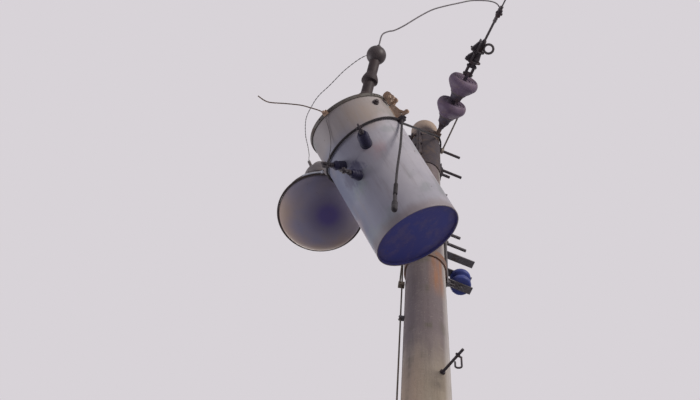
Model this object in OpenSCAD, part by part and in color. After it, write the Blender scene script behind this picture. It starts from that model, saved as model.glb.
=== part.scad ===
// Overhead distribution transformer that hangs askew on a tapered concrete pole.
// Units are millimetres, +Z is up and the origin is the centre of the pole's foot.
// The street side, with the low voltage terminals, faces -Y.

/* [Pole] */
// Height of the pole above ground
pole_h = 9150; // [8000:50:11000]
// Diameter of the pole at its top
pole_top_d = 165; // [140:1:200]
// Growth of the pole's diameter for each metre down
pole_taper = 13.3; // [10:0.1:16]
// Edge radius at the top of the pole
pole_edge = 8; // [3:1:15]

/* [Tank] */
// Outside diameter of the tank's wall
tank_d = 414; // [345:1:480]
// Height of the tank's wall
tank_h = 708; // [600:1:850]
// Thickness of the tank's wall
tank_wall = 4; // [3:0.5:6]
// Thickness of the bottom plate
floor_t = 5; // [3:0.5:8]
// Depth of the bottom plate above the wall's lower edge
floor_recess = 12; // [5:1:25]
// Lean of the tank from upright, in degrees
tank_lean = 41.2; // [0:0.1:45]
// Compass bearing of the lean, counted from +X, in degrees
tank_bearing = -133.2; // [-150:0.1:-110]
// Height of the lid's dome
lid_rise = 22; // [10:1:40]
// Height of the band that clamps the lid
band_h = 18; // [12:1:30]
// Thickness of the band that clamps the lid
band_t = 5; // [3:0.5:8]

/* [Tank bushings] */
// Length of the high voltage bushing from its seat to the middle of its cap
hv_len = 330; // [280:1:380]
// Diameter of the high voltage bushing's sheds
hv_shed_d = 82; // [66:1:100]
// Diameter of the round cap on the high voltage bushing
hv_cap_d = 97; // [75:1:105]
// Distance of the high voltage bushing from the lid's middle
hv_offset = 100; // [60:1:120]
// Length of a low voltage bushing
lv_len = 96; // [80:1:130]
// Diameter of the left and the middle low voltage bushing at the wall
lv_d = 48; // [34:1:56]
// Diameter of the right low voltage bushing at the wall
lv_right_d = 58; // [46:1:70]

/* [Hangers and sling] */
// Drop of the hinge bolt below the pole's top
hinge_drop = 2092; // [1900:1:2300]
// Gap between the pole and the middle of the hinge bolt
hinge_gap = 87.6; // [80:0.1:140]
// Height of the hinge bolt above the tank's foot
hinge_up = 100; // [80:1:150]
// Distance of the hinge bolt from the tank's wall
hinge_out = 52; // [45:1:80]
// Thickness of the hanger plates
plate_t = 10; // [6:1:14]
// Diameter of the sling's wire rope
rope_d = 12; // [8:1:16]
// Drop of the sling below the upper edge of the tank's wall
sling_below = 168; // [150:1:250]
// Drop of the sling's loop round the pole below the pole's top
sling_drop = 262; // [235:1:265]

/* [Pole head hardware] */
// Drop of the upper through bolt below the pole's top
bolt_a_drop = 215; // [180:1:225]
// Drop of the lower through bolt below the pole's top
bolt_b_drop = 540; // [480:1:600]
// Diameter of the through bolts
bolt_d = 16; // [12:1:20]
// Bearing of the through bolts' threaded ends, in degrees
bolt_bearing = 24; // [10:1:40]
// Drop of the steel sleeve's upper edge below the pole's top
sleeve_drop = 285; // [280:1:320]
// Height of the steel sleeve
sleeve_h = 470; // [350:1:520]
// Thickness of the steel sleeve
sleeve_t = 6; // [4:1:10]

/* [Line end] */
// Bearing of the line, in degrees
line_bearing = -64.3; // [-75:0.1:-55]
// Distance of the line from the pole's axis, to the side
line_aside = 47; // [35:1:55]
// Drop of the line below the pole's top
line_drop = 200; // [195:1:203]
// Diameter of the disc insulators
bell_d = 184; // [150:1:220]
// Pitch of the disc insulators along the string
bell_pitch = 163; // [150:1:190]
// Distance of the first disc from the pole's axis
bell_first = 272; // [260:1:300]

/* [Lamp] */
// Diameter of the lamp's reflector at its rim
lamp_d = 430; // [380:1:460]
// Height of the lamp from its rim to the top of its housing
lamp_h = 540; // [470:1:600]
// Distance of the lamp from the pole's axis
lamp_reach = 557; // [520:1:620]
// Bearing of the lamp, in degrees
lamp_bearing = -159.7; // [-170:0.1:-150]
// Drop of the lamp's rim below the pole's top
lamp_drop = 1711; // [1650:1:1800]
// Tilt of the lamp from upright, in degrees
lamp_tilt = 5.6; // [0:0.1:8]
// Diameter of the lamp's arm
arm_d = 42; // [34:1:50]

/* [Secondary rack] */
// Bearing of the rack, in degrees
rack_bearing = 24; // [10:1:40]
// Drop of the spool's middle below the pole's top
rack_drop = 1950; // [1850:1:2050]
// Spacing of the rack's two arms
rack_pitch = 112; // [95:1:130]
// Diameter of the spool insulator
spool_d = 104; // [85:1:112]
// Diameter of the earth wire
earth_d = 8; // [6:1:12]

/* [Hidden] */
$fn = 72;
eps = 0.3;

// Radius of the pole at a height, and the height of a drop below its top
function pole_r(z) = pole_top_d / 2 + (pole_h - z) * pole_taper / 2000;
function at(drop) = pole_h - drop;
function polar(r, bearing, z) = [r * cos(bearing), r * sin(bearing), z];
function unit(v) = v / norm(v);

// The tank's own axes in the pole's frame: x to the street side, z along the tank
tank_r = tank_d / 2;
sling_up = tank_h - sling_below;
tank_x = [cos(tank_lean) * cos(tank_bearing), cos(tank_lean) * sin(tank_bearing), -sin(tank_lean)];
tank_y = [-sin(tank_bearing), cos(tank_bearing), 0];
tank_z = [sin(tank_lean) * cos(tank_bearing), sin(tank_lean) * sin(tank_bearing), cos(tank_lean)];
hinge_turn = 210;
hinge_bearing = -107.7;
hinge_local = polar(tank_r + hinge_out, hinge_turn, hinge_up);
hinge_at = polar(pole_r(at(hinge_drop)) + hinge_gap, hinge_bearing, at(hinge_drop));
function tank_pt(p) = hinge_at + tank_x * (p.x - hinge_local.x)
  + tank_y * (p.y - hinge_local.y) + tank_z * (p.z - hinge_local.z);

module in_tank() {
  translate(hinge_at)
    rotate([0, tank_lean, tank_bearing])
      translate(-hinge_local) children();
}

// The high voltage bushing's own axis, which leans away from the pole
hv_turn = 80;
hv_tilt = 38;
hv_tilt_turn = 120;
hv_foot = polar(hv_offset, hv_turn, tank_h + lid_rise * 0.8);
hv_axis = [sin(hv_tilt) * cos(hv_tilt_turn), sin(hv_tilt) * sin(hv_tilt_turn), cos(hv_tilt)];
function hv_pt(up) = tank_pt(hv_foot + up * hv_axis);
module in_hv() {
  in_tank()
    translate(hv_foot)
      rotate([0, hv_tilt, hv_tilt_turn]) children();
}

// A round bar between two points
module bar(a, b, d, sides = 72) {
  v = b - a;
  translate(a)
    rotate([0, acos(v.z / norm(v)), atan2(v.y, v.x)])
      cylinder(h = norm(v), d = d, $fn = sides);
}

// A bar along +X of the given bearing, at a height, from one radius to another
module radial_bar(bearing, z, r_in, r_out, d) {
  bar(polar(r_in, bearing, z), polar(r_out, bearing, z), d);
}

module hexagon_nut(d, h) {
  cylinder(h = h, d = 2 * d, $fn = 6);
}

// A ring that fits the taper of the pole, and the pole's own room at that height
module pole_ring(z, h, t) {
  difference() {
    translate([0, 0, z]) cylinder(h = h, r = pole_r(z) + eps + t);
    pole_core(z, h);
  }
}
module pole_core(z, h) {
  translate([0, 0, z - 1])
    cylinder(h = h + 2, r1 = pole_r(z - 1) + eps, r2 = pole_r(z + h + 1) + eps);
}

// Smooth path through a list of points, and a tube swept along it
function between(p0, p1, p2, p3, t) = 0.5 * (2 * p1 + (p2 - p0) * t
  + (2 * p0 - 5 * p1 + 4 * p2 - p3) * t * t + (3 * p1 - p0 - 3 * p2 + p3) * t * t * t);
function smooth(pts, steps) = let (n = len(pts)) concat(
  [for (i = [0:n - 2], k = [0:steps - 1])
    between(pts[max(i - 1, 0)], pts[i], pts[i + 1], pts[min(i + 2, n - 1)], k / steps)],
  [pts[n - 1]]);
// Points of a strand, shifted so that it starts and ends at the given places
function strung(pts, from, to) = let (last = len(pts) - 1) [for (i = [0:last])
  pts[i] + (from - pts[0]) * (1 - i / last) + (to - pts[last]) * i / last];
function heading(path, i) = unit(path[min(i + 1, len(path) - 1)] - path[max(i - 1, 0)]);
function across(v, t) = unit(v - (v * t) * t);
function sides_of(path) = [
  for (i = 0, s = across([0.3, 0.2, 0.9], heading(path, 0)); i < len(path);
    i = i + 1, s = i < len(path) ? across(s, heading(path, i)) : s) s];

module tube(path, d, n = 8) {
  side = sides_of(path);
  last = len(path) - 1;
  rings = [for (i = [0:last]) let (t = heading(path, i), u = side[i], w = cross(t, u))
    for (k = [0:n - 1]) path[i] + d / 2 * (cos(360 * k / n) * u + sin(360 * k / n) * w)];
  walls = [for (i = [0:last - 1], k = [0:n - 1])
    [i * n + k, (i + 1) * n + k, (i + 1) * n + (k + 1) % n, i * n + (k + 1) % n]];
  polyhedron(points = rings, faces = concat(walls,
    [[for (k = [0:n - 1]) k]], [[for (k = [n - 1:-1:0]) last * n + k]]), convexity = 10);
}

// Pole

module pole() {
  foot_r = pole_r(0);
  color("tan")
    union() {
      cylinder(h = pole_h - pole_edge, r1 = foot_r, r2 = pole_r(pole_h - pole_edge), $fn = 96);
      translate([0, 0, pole_h - pole_edge])
        cylinder(h = pole_edge, r1 = pole_r(pole_h - pole_edge), r2 = pole_top_d / 2 - pole_edge, $fn = 96);
    }
}

// Pole head hardware

// Clasp of a band: two lugs a slit apart, drawn together by bolts
ear_reach = 44;
ear_w = 20;
slit = 3;
module clasp(bearing, z, h) {
  rotate([0, 0, bearing])
    translate([pole_r(z) + 3, -ear_w / 2, z])
      cube([ear_reach, ear_w, h]);
}
module clasp_slit(bearing, z, h) {
  rotate([0, 0, bearing])
    translate([pole_r(z), -slit / 2, z - 1])
      cube([ear_reach + 20, slit, h + 2]);
}
module clasp_bolt(bearing, z) {
  reach = pole_r(z) + ear_reach - 12;
  rotate([0, 0, bearing])
    translate([reach, 0, z])
      rotate([90, 0, 0]) {
        translate([0, 0, -ear_w / 2 - 12]) cylinder(h = ear_w + 30, d = 10);
        for (side = [-ear_w / 2 - 8, ear_w / 2])
          translate([0, 0, side]) hexagon_nut(9, 8);
      }
}

sleeve_ears = bolt_bearing + 50;
module top_sleeve() {
  z = at(sleeve_drop) - sleeve_h;
  color("#2a1e20")
    difference() {
      union() {
        pole_ring(z, sleeve_h, sleeve_t);
        for (turn = [0, 180]) {
          clasp(sleeve_ears + turn, z, sleeve_h);
          for (k = [0.15, 0.5, 0.85]) clasp_bolt(sleeve_ears + turn, z + k * sleeve_h);
        }
      }
      for (turn = [0, 180]) clasp_slit(sleeve_ears + turn, z, sleeve_h);
      pole_core(z, sleeve_h);
      radial_bar(bolt_bearing, at(bolt_b_drop), -300, 300, bolt_d + 2);
      radial_bar(bolt_bearing, at(short_bolt_drop), -300, 300, bolt_d + 2);
    }
}

// Two through bolts with square washers, and a shorter one below them
bolt_out = 237;
short_bolt_drop = 610;
short_bolt_out = 160;
washer_w = 56;
washer_t = 5;
nut_t = 14;
module through_bolts() {
  color("#3a2c26")
    for (b = [[bolt_a_drop, band_thick, bolt_out, at(line_drop) - band_tall / 2],
        [bolt_b_drop, sleeve_t, bolt_out, at(sleeve_drop) - sleeve_h],
        [short_bolt_drop, sleeve_t, short_bolt_out, at(sleeve_drop) - sleeve_h]]) {
      z = at(b[0]);
      seat = pole_r(b[3]) + b[1] + 2 * eps;
      rotate([0, 0, bolt_bearing])
        translate([0, 0, z])
          rotate([0, 90, 0]) {
            translate([0, 0, seat]) cylinder(h = b[2] - seat, d = bolt_d);
            translate([-washer_w / 2, -washer_w / 2, seat]) cube([washer_w, washer_w, washer_t]);
            translate([0, 0, seat + washer_t]) hexagon_nut(bolt_d, nut_t);
            translate([-washer_w / 2, -washer_w / 2, -seat - washer_t]) cube([washer_w, washer_w, washer_t]);
            translate([0, 0, -seat - washer_t - nut_t]) hexagon_nut(bolt_d, nut_t);
          }
    }
}

// Line end: a band with an eye plate, two disc insulators, links and a strain clamp

function line_pt(r) = polar(r, line_bearing, at(line_drop)) + polar(line_aside, line_bearing + 90, 0);
module on_line(r, z = at(line_drop)) {
  rotate([0, 0, line_bearing]) translate([r, line_aside, z]) rotate([0, 90, 0]) children();
}

band_thick = 7;
band_tall = 50;
plate_thick = 14;
plate_neck = 24;
cap_back = 108;
eye_back = 22;
eye_mid = bell_first - cap_back - eye_back;
eye_r = 17;
pin_d = 14;
// Frame of the line seen from above: x along the line, y across it
module on_plan(r, low = 0) {
  rotate([0, 0, line_bearing]) translate([r, line_aside, at(line_drop) + low]) children();
}

module line_band() {
  z = at(line_drop) - band_tall / 2;
  root = pole_r(z) + band_thick + 6;
  color("#3a2c26")
    difference() {
      union() {
        pole_ring(z, band_tall, band_thick);
        clasp(line_bearing + 180, z, band_tall);
        clasp_bolt(line_bearing + 180, z + band_tall / 2);
        on_plan(0, -plate_thick / 2)
          linear_extrude(plate_thick)
            union() {
              translate([0, -line_aside * 0.6]) square([root, line_aside * 1.1]);
              translate([0, -plate_neck / 2]) square([eye_mid, plate_neck]);
              translate([eye_mid, 0]) circle(r = eye_r);
            }
      }
      pole_core(z, band_tall);
      clasp_slit(line_bearing + 180, z, band_tall);
      translate([0, 0, z - 1]) cylinder(h = band_tall + 2, r = pole_r(z) - 4);
      on_line(eye_mid) rotate([0, 90, 0]) cylinder(h = 60, d = pin_d + 2, center = true);
      radial_bar(bolt_bearing, at(bolt_a_drop), -300, 300, bolt_d + 2);
    }
}

neck_r = 16;
cap_r = 46;
cap_front = 56;
bell_face = 44;
skirt_w = bell_d / 2 - cap_r;
// Outline of the porcelain from the cap over the skirt to the rim, grown by a clearance
function bell_outline(grow = 0) = [
  [cap_r + 2 + grow, -cap_front - grow], [cap_r + 5 + grow, -52], [cap_r + 0.42 * skirt_w + grow, -37],
  [cap_r + 0.72 * skirt_w + grow, -19], [cap_r + 0.93 * skirt_w + grow, -4], [cap_r + skirt_w + grow, 9],
  [cap_r + 0.97 * skirt_w + grow, 24], [cap_r + 0.86 * skirt_w + grow, 35],
  [cap_r + 0.7 * skirt_w + grow, bell_face + grow]];

// Thick porcelain disc with shallow ribs under its skirt, opening away from the pole
module bell() {
  rotate_extrude(convexity = 4)
    polygon(concat([[neck_r, -cap_front]], bell_outline(),
      [[cap_r + 0.6 * skirt_w, bell_face], [cap_r + 0.5 * skirt_w, 36], [cap_r + 0.42 * skirt_w, 22],
      [cap_r + 0.32 * skirt_w, 20], [cap_r + 0.27 * skirt_w, 37], [cap_r + 0.16 * skirt_w, 37],
      [cap_r + 0.08 * skirt_w, 18], [38, 16], [36, 33], [31, 33], [28, 14], [20, 12], [20, 18], [neck_r, 18]]));
}

module disc_insulators() {
  color("#54403a")
    for (k = [0, 1]) on_line(bell_first + k * bell_pitch) bell();
}

// Iron cap, with the pin that hangs in the next cap or ends in a tongue
pin_r = 11;
pin_out = bell_pitch - cap_back + 2;
tongue_t = 18;
tongue_w = 26;
tongue_len = 34;
module bell_iron() {
  rotate_extrude()
    polygon([[0, -cap_back], [29, -cap_back], [34, -cap_back + 5], [36, -84], [41, -70], [cap_r, -62],
      [cap_r, -cap_front - eps], [neck_r - eps, -cap_front - eps], [neck_r - eps, 18], [pin_r, 18],
      [pin_r, pin_out], [0, pin_out]]);
}

// The first cap's clevis: two cheeks that taper to the pin through the band's eye
cheek = 8;
cheek_end = 15;
module clevis() {
  for (low = [plate_thick / 2 + 1, -plate_thick / 2 - 1 - cheek])
    on_plan(eye_mid, low)
      linear_extrude(cheek)
        union() {
          circle(r = cheek_end + 1);
          polygon([[0, -cheek_end], [eye_back + 4, -29], [eye_back + 4, 29], [0, cheek_end]]);
        }
}

module bell_fittings() {
  color("#33282a")
    difference() {
      union() {
        for (k = [0, 1]) on_line(bell_first + k * bell_pitch) bell_iron();
        on_line(bell_first + bell_pitch + pin_out - 4)
          translate([-tongue_w / 2, -tongue_t / 2, 0]) cube([tongue_w, tongue_t, tongue_len]);
        clevis();
        on_line(eye_mid) rotate([0, 90, 0]) cylinder(h = 54, d = pin_d, center = true);
      }
      on_line(link_start + pin_in)
        rotate([90, 0, 0]) cylinder(h = 60, d = strap_pin + 1, center = true);
    }
}

// Two link straps with their pins
strap_from = 62;
strap_len = 78;
strap_w = 26;
strap_t = 14;
strap_pin = 12;
pin_in = 12;
link_start = bell_first + bell_pitch + strap_from;
module link_straps() {
  half = tongue_t / 2 + 1;
  color("#33282a") {
    for (side = [half + strap_t, -half])
      on_line(link_start)
        translate([0, side, 0])
          rotate([90, 0, 0])
            linear_extrude(strap_t)
              union() {
                translate([-strap_w / 2, pin_in]) square([strap_w, strap_len - 2 * pin_in]);
                for (up = [pin_in, strap_len - pin_in]) translate([0, up]) circle(r = strap_w / 2 + 1);
              }
    for (up = [pin_in, strap_len - pin_in])
      on_line(link_start + up)
        rotate([90, 0, 0]) cylinder(h = 2 * (half + strap_t) + 14, d = strap_pin, center = true);
  }
}

// Strain clamp: a boat shaped body that grips the line, with two ribbed keepers for its U bolts
clamp_from = 143;
clamp_len = 163;
clamp_start = bell_first + bell_pitch + clamp_from;
clamp_shape = [[0, 15], [8, 24], [34, 27], [60, 22], [86, 18.5], [130, 15.5], [156, 13], [clamp_len, 10.5]];
keeper_t = 9;
rib_t = 24;
u_bolt_d = 10;
u_r = 32;
u_bolts_at = [18, 86];
u_lifts = [4, -4];
keeper_w = 2 * u_r + 24;
keeper_ribs = [[[0, 0], [3, 30], [33, 21], [64, 0]], [[0, 0], [6, 31], [50, 12], [74, 0]]];
keeper_back = 10;
tongue_reach = 24;
line_d = 15;
function clamp_r(k) = lookup(k, clamp_shape);
function keeper_seat(i) = clamp_r(u_bolts_at[i]) - 5;
module strain_clamp() {
  color("#3c3032")
    difference() {
      union() {
        on_line(clamp_start) {
          translate([-strap_w / 2, -tongue_t / 2, -tongue_reach]) cube([strap_w, tongue_t, tongue_reach + 10]);
          rotate_extrude()
            polygon(concat([[0, 0]], [for (p = clamp_shape) [p[1], p[0]]], [[0, clamp_len]]));
        }
        for (i = [0, 1]) {
          from = clamp_start + u_bolts_at[i] - keeper_back;
          back = keeper_seat(i) + keeper_t;
          rib = keeper_ribs[i];
          on_line(from)
            translate([-keeper_w / 2, -back, 0]) cube([keeper_w, keeper_t, rib[3].x]);
          on_plan(from, -rib_t / 2)
            linear_extrude(rib_t)
              polygon(concat([[0, -back + 2]], [for (p = rib) [p.x, -back - p.y]], [[rib[3].x, -back + 2]]));
        }
      }
      on_line(clamp_start + 40) cylinder(h = clamp_len, d = line_d + 2 * eps);
      for (i = [0, 1], side = [-u_r, u_r])
        on_line(clamp_start + u_bolts_at[i])
          translate([side, 0, 0]) rotate([90, 0, 0]) cylinder(h = 60, d = u_bolt_d + 2 * eps);
      on_line(link_start + strap_len - pin_in)
        rotate([90, 0, 0]) cylinder(h = 60, d = strap_pin + 1, center = true);
    }
}
module clamp_bolts() {
  leg = 54;
  color("#2e2626")
    for (i = [0, 1])
      on_line(clamp_start + u_bolts_at[i])
        union() {
          translate([0, u_lifts[i], 0])
            rotate_extrude(angle = 180) translate([u_r, 0]) circle(d = u_bolt_d);
          for (side = [-u_r, u_r]) {
            translate([side, u_lifts[i], 0]) rotate([90, 0, 0]) cylinder(h = leg + u_lifts[i], d = u_bolt_d);
            translate([side, -keeper_seat(i) - keeper_t - eps, 0]) rotate([90, 0, 0]) hexagon_nut(8.5, 9);
          }
        }
}

// Bare line from the clamp outwards, with its end curled into a ring against the clamp's lower side
line_start = clamp_start + 60;
sleeve_from = 862;
line_end = 1070;
curl_at = 706;
curl_r = 28;
curl_aside = 40;
curl_low = sqrt(pow(clamp_r(curl_at - clamp_start) + line_d / 2 + eps, 2) - pow(curl_aside - curl_r, 2));
module line_tail() {
  color("#4f4a4a") {
    on_line(line_start) cylinder(h = sleeve_from + 40 - line_start, d = line_d);
    on_line(curl_at) translate([curl_low, curl_aside, 0])
      rotate([0, 90, 0]) rotate_extrude() translate([curl_r, 0]) circle(d = line_d);
  }
}

// Sleeve that joins the line to its thinner run outwards, with the groove clamp that holds the jumper
sleeve_d = 22;
sleeve_end = 968;
thin_d = 9;
crimp_d = 15;
crimp_len = 22;
tap_from = 925;
tap_half = 24;
tap_w = 26;
tap_above = 13;
tap_below = 30;
module line_sleeve() {
  color("#57504e")
    difference() {
      union() {
        on_line(sleeve_from) cylinder(h = sleeve_end - sleeve_from, d = sleeve_d);
        on_line(sleeve_end - 5) cylinder(h = line_end - sleeve_end, d = thin_d);
        on_line(line_end - 10) cylinder(h = crimp_len, d = crimp_d);
        on_line(tap_from) {
          translate([-tap_above, -tap_w / 2, -tap_half]) cube([tap_above + tap_below, tap_w, 2 * tap_half]);
          translate([tap_below / 2, -tap_w / 2 - 6, 0]) rotate([-90, 0, 0]) hexagon_nut(8, tap_w + 12);
        }
      }
      on_line(sleeve_from - 1) cylinder(h = 42, d = line_d + 2 * eps);
    }
}

// Jumper from the bushing's cap up and over to the tap
jumper_d = 8;
jumper_pts = [[-223, -983, 7672], [-217, -1000, 7700], [-212, -1012, 7740], [-206, -1013, 7790],
  [-194, -1008, 7842], [-174, -1002, 7888], [-148, -994, 7936], [-101, -989, 8040], [-18, -993, 8215],
  [50, -993, 8345], [120, -982, 8462], [190, -967, 8576], [264, -952, 8689], [324, -932, 8774],
  [385, -906, 8856], [425, -880, 8905], [446, -850, 8922], [446, -824, 8926]];
jumper_from = hv_pt(hv_len + hv_cap_d / 2 + 5);
jumper_to = line_pt(tap_from) + [2, -11, -24];
module jumper() {
  color("#6d6a68") tube(smooth(strung(jumper_pts, jumper_from, jumper_to), 2), jumper_d);
}

// Rod from an eye on the upper through bolt to the skirt of the first disc
rod_d = 10;
rod_eye_r = 19;
rod_eye_t = 14;
rod_tip = [238, 63, -18];
module prop_rod() {
  foot = pole_r(at(line_drop) - band_tall / 2) + band_thick + 3 * eps + washer_t + nut_t;
  eye = polar(foot + rod_eye_t / 2, bolt_bearing, at(bolt_a_drop));
  tip = line_pt(rod_tip.x) + polar(rod_tip.y, line_bearing + 90, rod_tip.z);
  color("#4a3a34")
    difference() {
      union() {
        bar(eye, tip, rod_d);
        radial_bar(bolt_bearing, at(bolt_a_drop), foot, foot + rod_eye_t, 2 * rod_eye_r);
      }
      radial_bar(bolt_bearing, at(bolt_a_drop), foot - 20, foot + 40, bolt_d + 2 * eps);
      on_line(bell_first)
        rotate_extrude() polygon(concat([[0, -cap_front - eps]], bell_outline(eps), [[0, bell_face + eps]]));
    }
}

// Tank

module tank_wall_shell() {
  color("#b9b4b0")
    in_tank()
      difference() {
        cylinder(h = tank_h, r = tank_r, $fn = 120);
        translate([0, 0, -1]) cylinder(h = tank_h + 2, r = tank_r - tank_wall, $fn = 120);
      }
}

module tank_floor() {
  r = tank_r - tank_wall - 0.2;
  color("#16193a")
    in_tank()
      translate([0, 0, floor_recess])
        union() {
          cylinder(h = floor_t, r = r, $fn = 120);
          translate([0, 0, -floor_recess + 3])
            difference() {
              cylinder(h = floor_recess, r = r, $fn = 120);
              translate([0, 0, -1]) cylinder(h = floor_recess + 2, r = r - 4, $fn = 120);
            }
        }
}

lid_t = 4;
lip = 7;
module tank_lid() {
  r = tank_r;
  color("#8f8a84")
    in_tank()
      translate([0, 0, tank_h + eps])
        rotate_extrude(convexity = 4, $fn = 120)
          polygon([[0, lid_rise], [r * 0.45, lid_rise * 0.8], [r * 0.8, lid_rise * 0.35], [r - 10, 0],
            [r + 1, 0], [r + 1, lid_t], [r - 12, lid_t + 1], [r * 0.8, lid_rise * 0.35 + lid_t],
            [r * 0.45, lid_rise * 0.8 + lid_t], [0, lid_rise + lid_t]]);
}

module lid_clamp_band() {
  r = tank_r;
  z = tank_h - band_h + lid_t + 6;
  color("#241e1e")
    in_tank()
      translate([0, 0, z])
        rotate_extrude(convexity = 4, $fn = 120)
          polygon([[r + eps, 0], [r + band_t, 0], [r + band_t + 1, band_h / 2], [r + band_t, band_h],
            [r - 8, band_h], [r - 8, band_h - 5], [r + 1 + eps, band_h - 5], [r + 1 + eps, 6], [r + eps, 6]]);
}

// Rusty latch that draws the band tight with its bolt, and a small clip with a stub of wire
latch_turn = 97;
latch_low = 46;
latch_gap = 12;
ear_t = 12;
latch_bolt = [22, 24];
latch_outline = [[0, 0], [20, 0], [26, 5], [36, 5], [43, 9], [45, 19], [40, 31], [38, 47], [33, 57], [26, 62],
  [12, 62], [0, 56]];
module band_fittings() {
  r = tank_r + band_t + 1.5;
  color("#8a6a58")
    in_tank() {
      rotate([0, 0, latch_turn])
        translate([r, 0, tank_h - latch_low]) {
          for (side = [latch_gap + ear_t, -latch_gap])
            translate([0, side, 0]) rotate([90, 0, 0]) linear_extrude(ear_t) polygon(latch_outline);
          translate([latch_bolt.x, -42, latch_bolt.y]) rotate([-90, 0, 0]) cylinder(h = 84, d = 14);
          for (side = [latch_gap + ear_t, -latch_gap - ear_t - 11])
            translate([latch_bolt.x, side, latch_bolt.y]) rotate([-90, 0, 0]) hexagon_nut(12, 11);
        }
      translate([tank_r + band_t + 0.8, -14, tank_h - 12]) cube([6, 26, 24]);
      translate([tank_r + band_t + 0.8, -11, tank_h]) cube([15, 14, 12]);
    }
}

module hv_turret() {
  r = tank_r;
  color("#4a4240")
    difference() {
      in_hv() {
        translate([0, 0, -46]) cylinder(h = 76, r1 = 46, r2 = 42);
        translate([0, 0, 30]) cylinder(h = 8, r = 50);
      }
      in_tank()
        translate([0, 0, tank_h + 2 * eps])
          rotate_extrude(convexity = 4)
            polygon([[0, -200], [r, -200], [r, lid_t], [r - 12, lid_t + 1], [r * 0.8, lid_rise * 0.35 + lid_t],
              [r * 0.45, lid_rise * 0.8 + lid_t], [0, lid_rise + lid_t]]);
    }
}

hv_seat = 38;
hv_body_r = 27;
cap_grip = 14;
// Outline of one shed, from its underside up to the body above it
function shed(foot, tall) = let (r = hv_shed_d / 2) [[hv_body_r, foot], [r - 1, foot + tall * 0.13],
  [r, foot + tall * 0.3], [r - 3, foot + tall * 0.54], [hv_body_r + 1, foot + tall]];

// Porcelain of the high voltage bushing: a low shed at its seat and a tall one below its neck
module hv_bushing() {
  top = hv_len - hv_seat - hv_cap_d / 2 + cap_grip;
  color("#3b2420")
    in_hv()
      translate([0, 0, hv_seat])
        rotate_extrude(convexity = 4)
          polygon(concat([[0, 0], [36, 0], [36, 10]], shed(16, 34), shed(120, 54),
            [[hv_body_r - 1, 178], [hv_body_r - 1, top], [0, top]]));
}

module hv_cap() {
  color("#33231f")
    in_hv()
      difference() {
        union() {
          translate([0, 0, hv_len]) sphere(d = hv_cap_d);
          translate([0, 0, hv_len + hv_cap_d / 2 - 8]) cylinder(h = 18, d = 20);
        }
        translate([0, 0, hv_len - hv_cap_d])
          cylinder(h = hv_cap_d / 2 + cap_grip + eps, r = hv_body_r - 1 + eps);
      }
}

// A low voltage bushing: ribbed porcelain, and a stud with a spade terminal
stud_d = 16;
stud_len = 35;
rib_pitch = 22;
spade = [34, 8, 32];
module lv_bushing(turn, up, len, d, twist) {
  r = d / 2;
  tip = len - stud_len;
  ribs = floor((tip - 15) / rib_pitch);
  in_tank()
    rotate([0, 0, turn])
      translate([tank_r + 0.2, 0, up])
        rotate([0, 90, 0]) {
          rotate_extrude(convexity = 4)
            polygon(concat([[0, 0], [r, 0], [r, 8], [r - 6, 13]],
              [for (k = [0:ribs - 1]) each [[r - 7, 15 + rib_pitch * k], [r - 1, 20 + rib_pitch * k],
                [r - 2, 26 + rib_pitch * k], [r - 7, 31 + rib_pitch * k]]],
              [[r - 8, tip], [0, tip]]));
          translate([0, 0, tip]) cylinder(h = stud_len, d = stud_d);
          translate([0, 0, tip + 12]) hexagon_nut(13, 10);
          rotate([0, 0, twist])
            translate([-spade.x / 2, -spade.y / 2, len - 1]) cube(spade);
        }
}

// Left, middle and right bushing: turn round the tank and height on its wall
lv_left = [-18, 427];
lv_middle = [-5, 322];
lv_right = [24, 438];
module lv_bushings() {
  color("#1c1716") {
    lv_bushing(lv_left.x, lv_left.y, lv_len, lv_d, 0);
    lv_bushing(lv_middle.x, lv_middle.y, lv_len, lv_d, 60);
    lv_bushing(lv_right.x, lv_right.y, lv_len + 30, lv_right_d, 0);
  }
}

// Lifting lugs: each is a rib on the wall below the band, the right one with a hooked ear over the sling
lug_t = 12;
lug_base = sling_up + 32;
lug_tall = sling_below - 80;
right_lug_turn = 98;
right_lug = [[0, 0], [36, 0], [62, -5], [69, 2], [68, 12], [60, 18], [50, 17], [37, 37],
  [27, lug_tall - 12], [24, lug_tall], [0, lug_tall]];
right_eye = [33, 17, 14];
left_lug_turn = 268;
left_lug = [[0, 24], [18, 20], [34, 28], [37, 40], [31, 52], [25, lug_tall - 10], [20, lug_tall], [0, lug_tall]];
left_eye = [20, 38, 14];
module lifting_lug(turn, outline, eye) {
  in_tank()
    rotate([0, 0, turn])
      translate([tank_r + 0.2, 0, lug_base])
        difference() {
          rotate([90, 0, 0]) translate([0, 0, -lug_t / 2]) linear_extrude(lug_t) polygon(outline);
          translate([eye.x, lug_t, eye.y]) rotate([90, 0, 0]) cylinder(h = 2 * lug_t, d = eye.z);
        }
}
module lifting_lugs() {
  color("#8a6a58") {
    lifting_lug(right_lug_turn, right_lug, right_eye);
    lifting_lug(left_lug_turn, left_lug, left_eye);
  }
}

module relief_plug() {
  color("#1a1614")
    in_tank()
      rotate([0, 0, 68])
        translate([tank_r + 0.2, 0, 656])
          rotate([0, 90, 0]) {
            cylinder(h = 8, d = 30);
            translate([0, 0, 8]) hexagon_nut(9, 10);
          }
}

// Hanger plates on the tank's back
module hanger_plate(up, eye) {
  in_tank()
    rotate([0, 0, hinge_turn])
      translate([0, plate_t / 2, 0])
        rotate([90, 0, 0])
          linear_extrude(plate_t)
            difference() {
              union() {
                translate([tank_r + 0.2, up - 60]) square([12, 120]);
                hull() {
                  translate([tank_r + 6, up - 42]) square([1, 84]);
                  translate([tank_r + hinge_out, up]) circle(r = 24);
                }
              }
              translate([tank_r + hinge_out, up]) circle(d = eye);
            }
}

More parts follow.
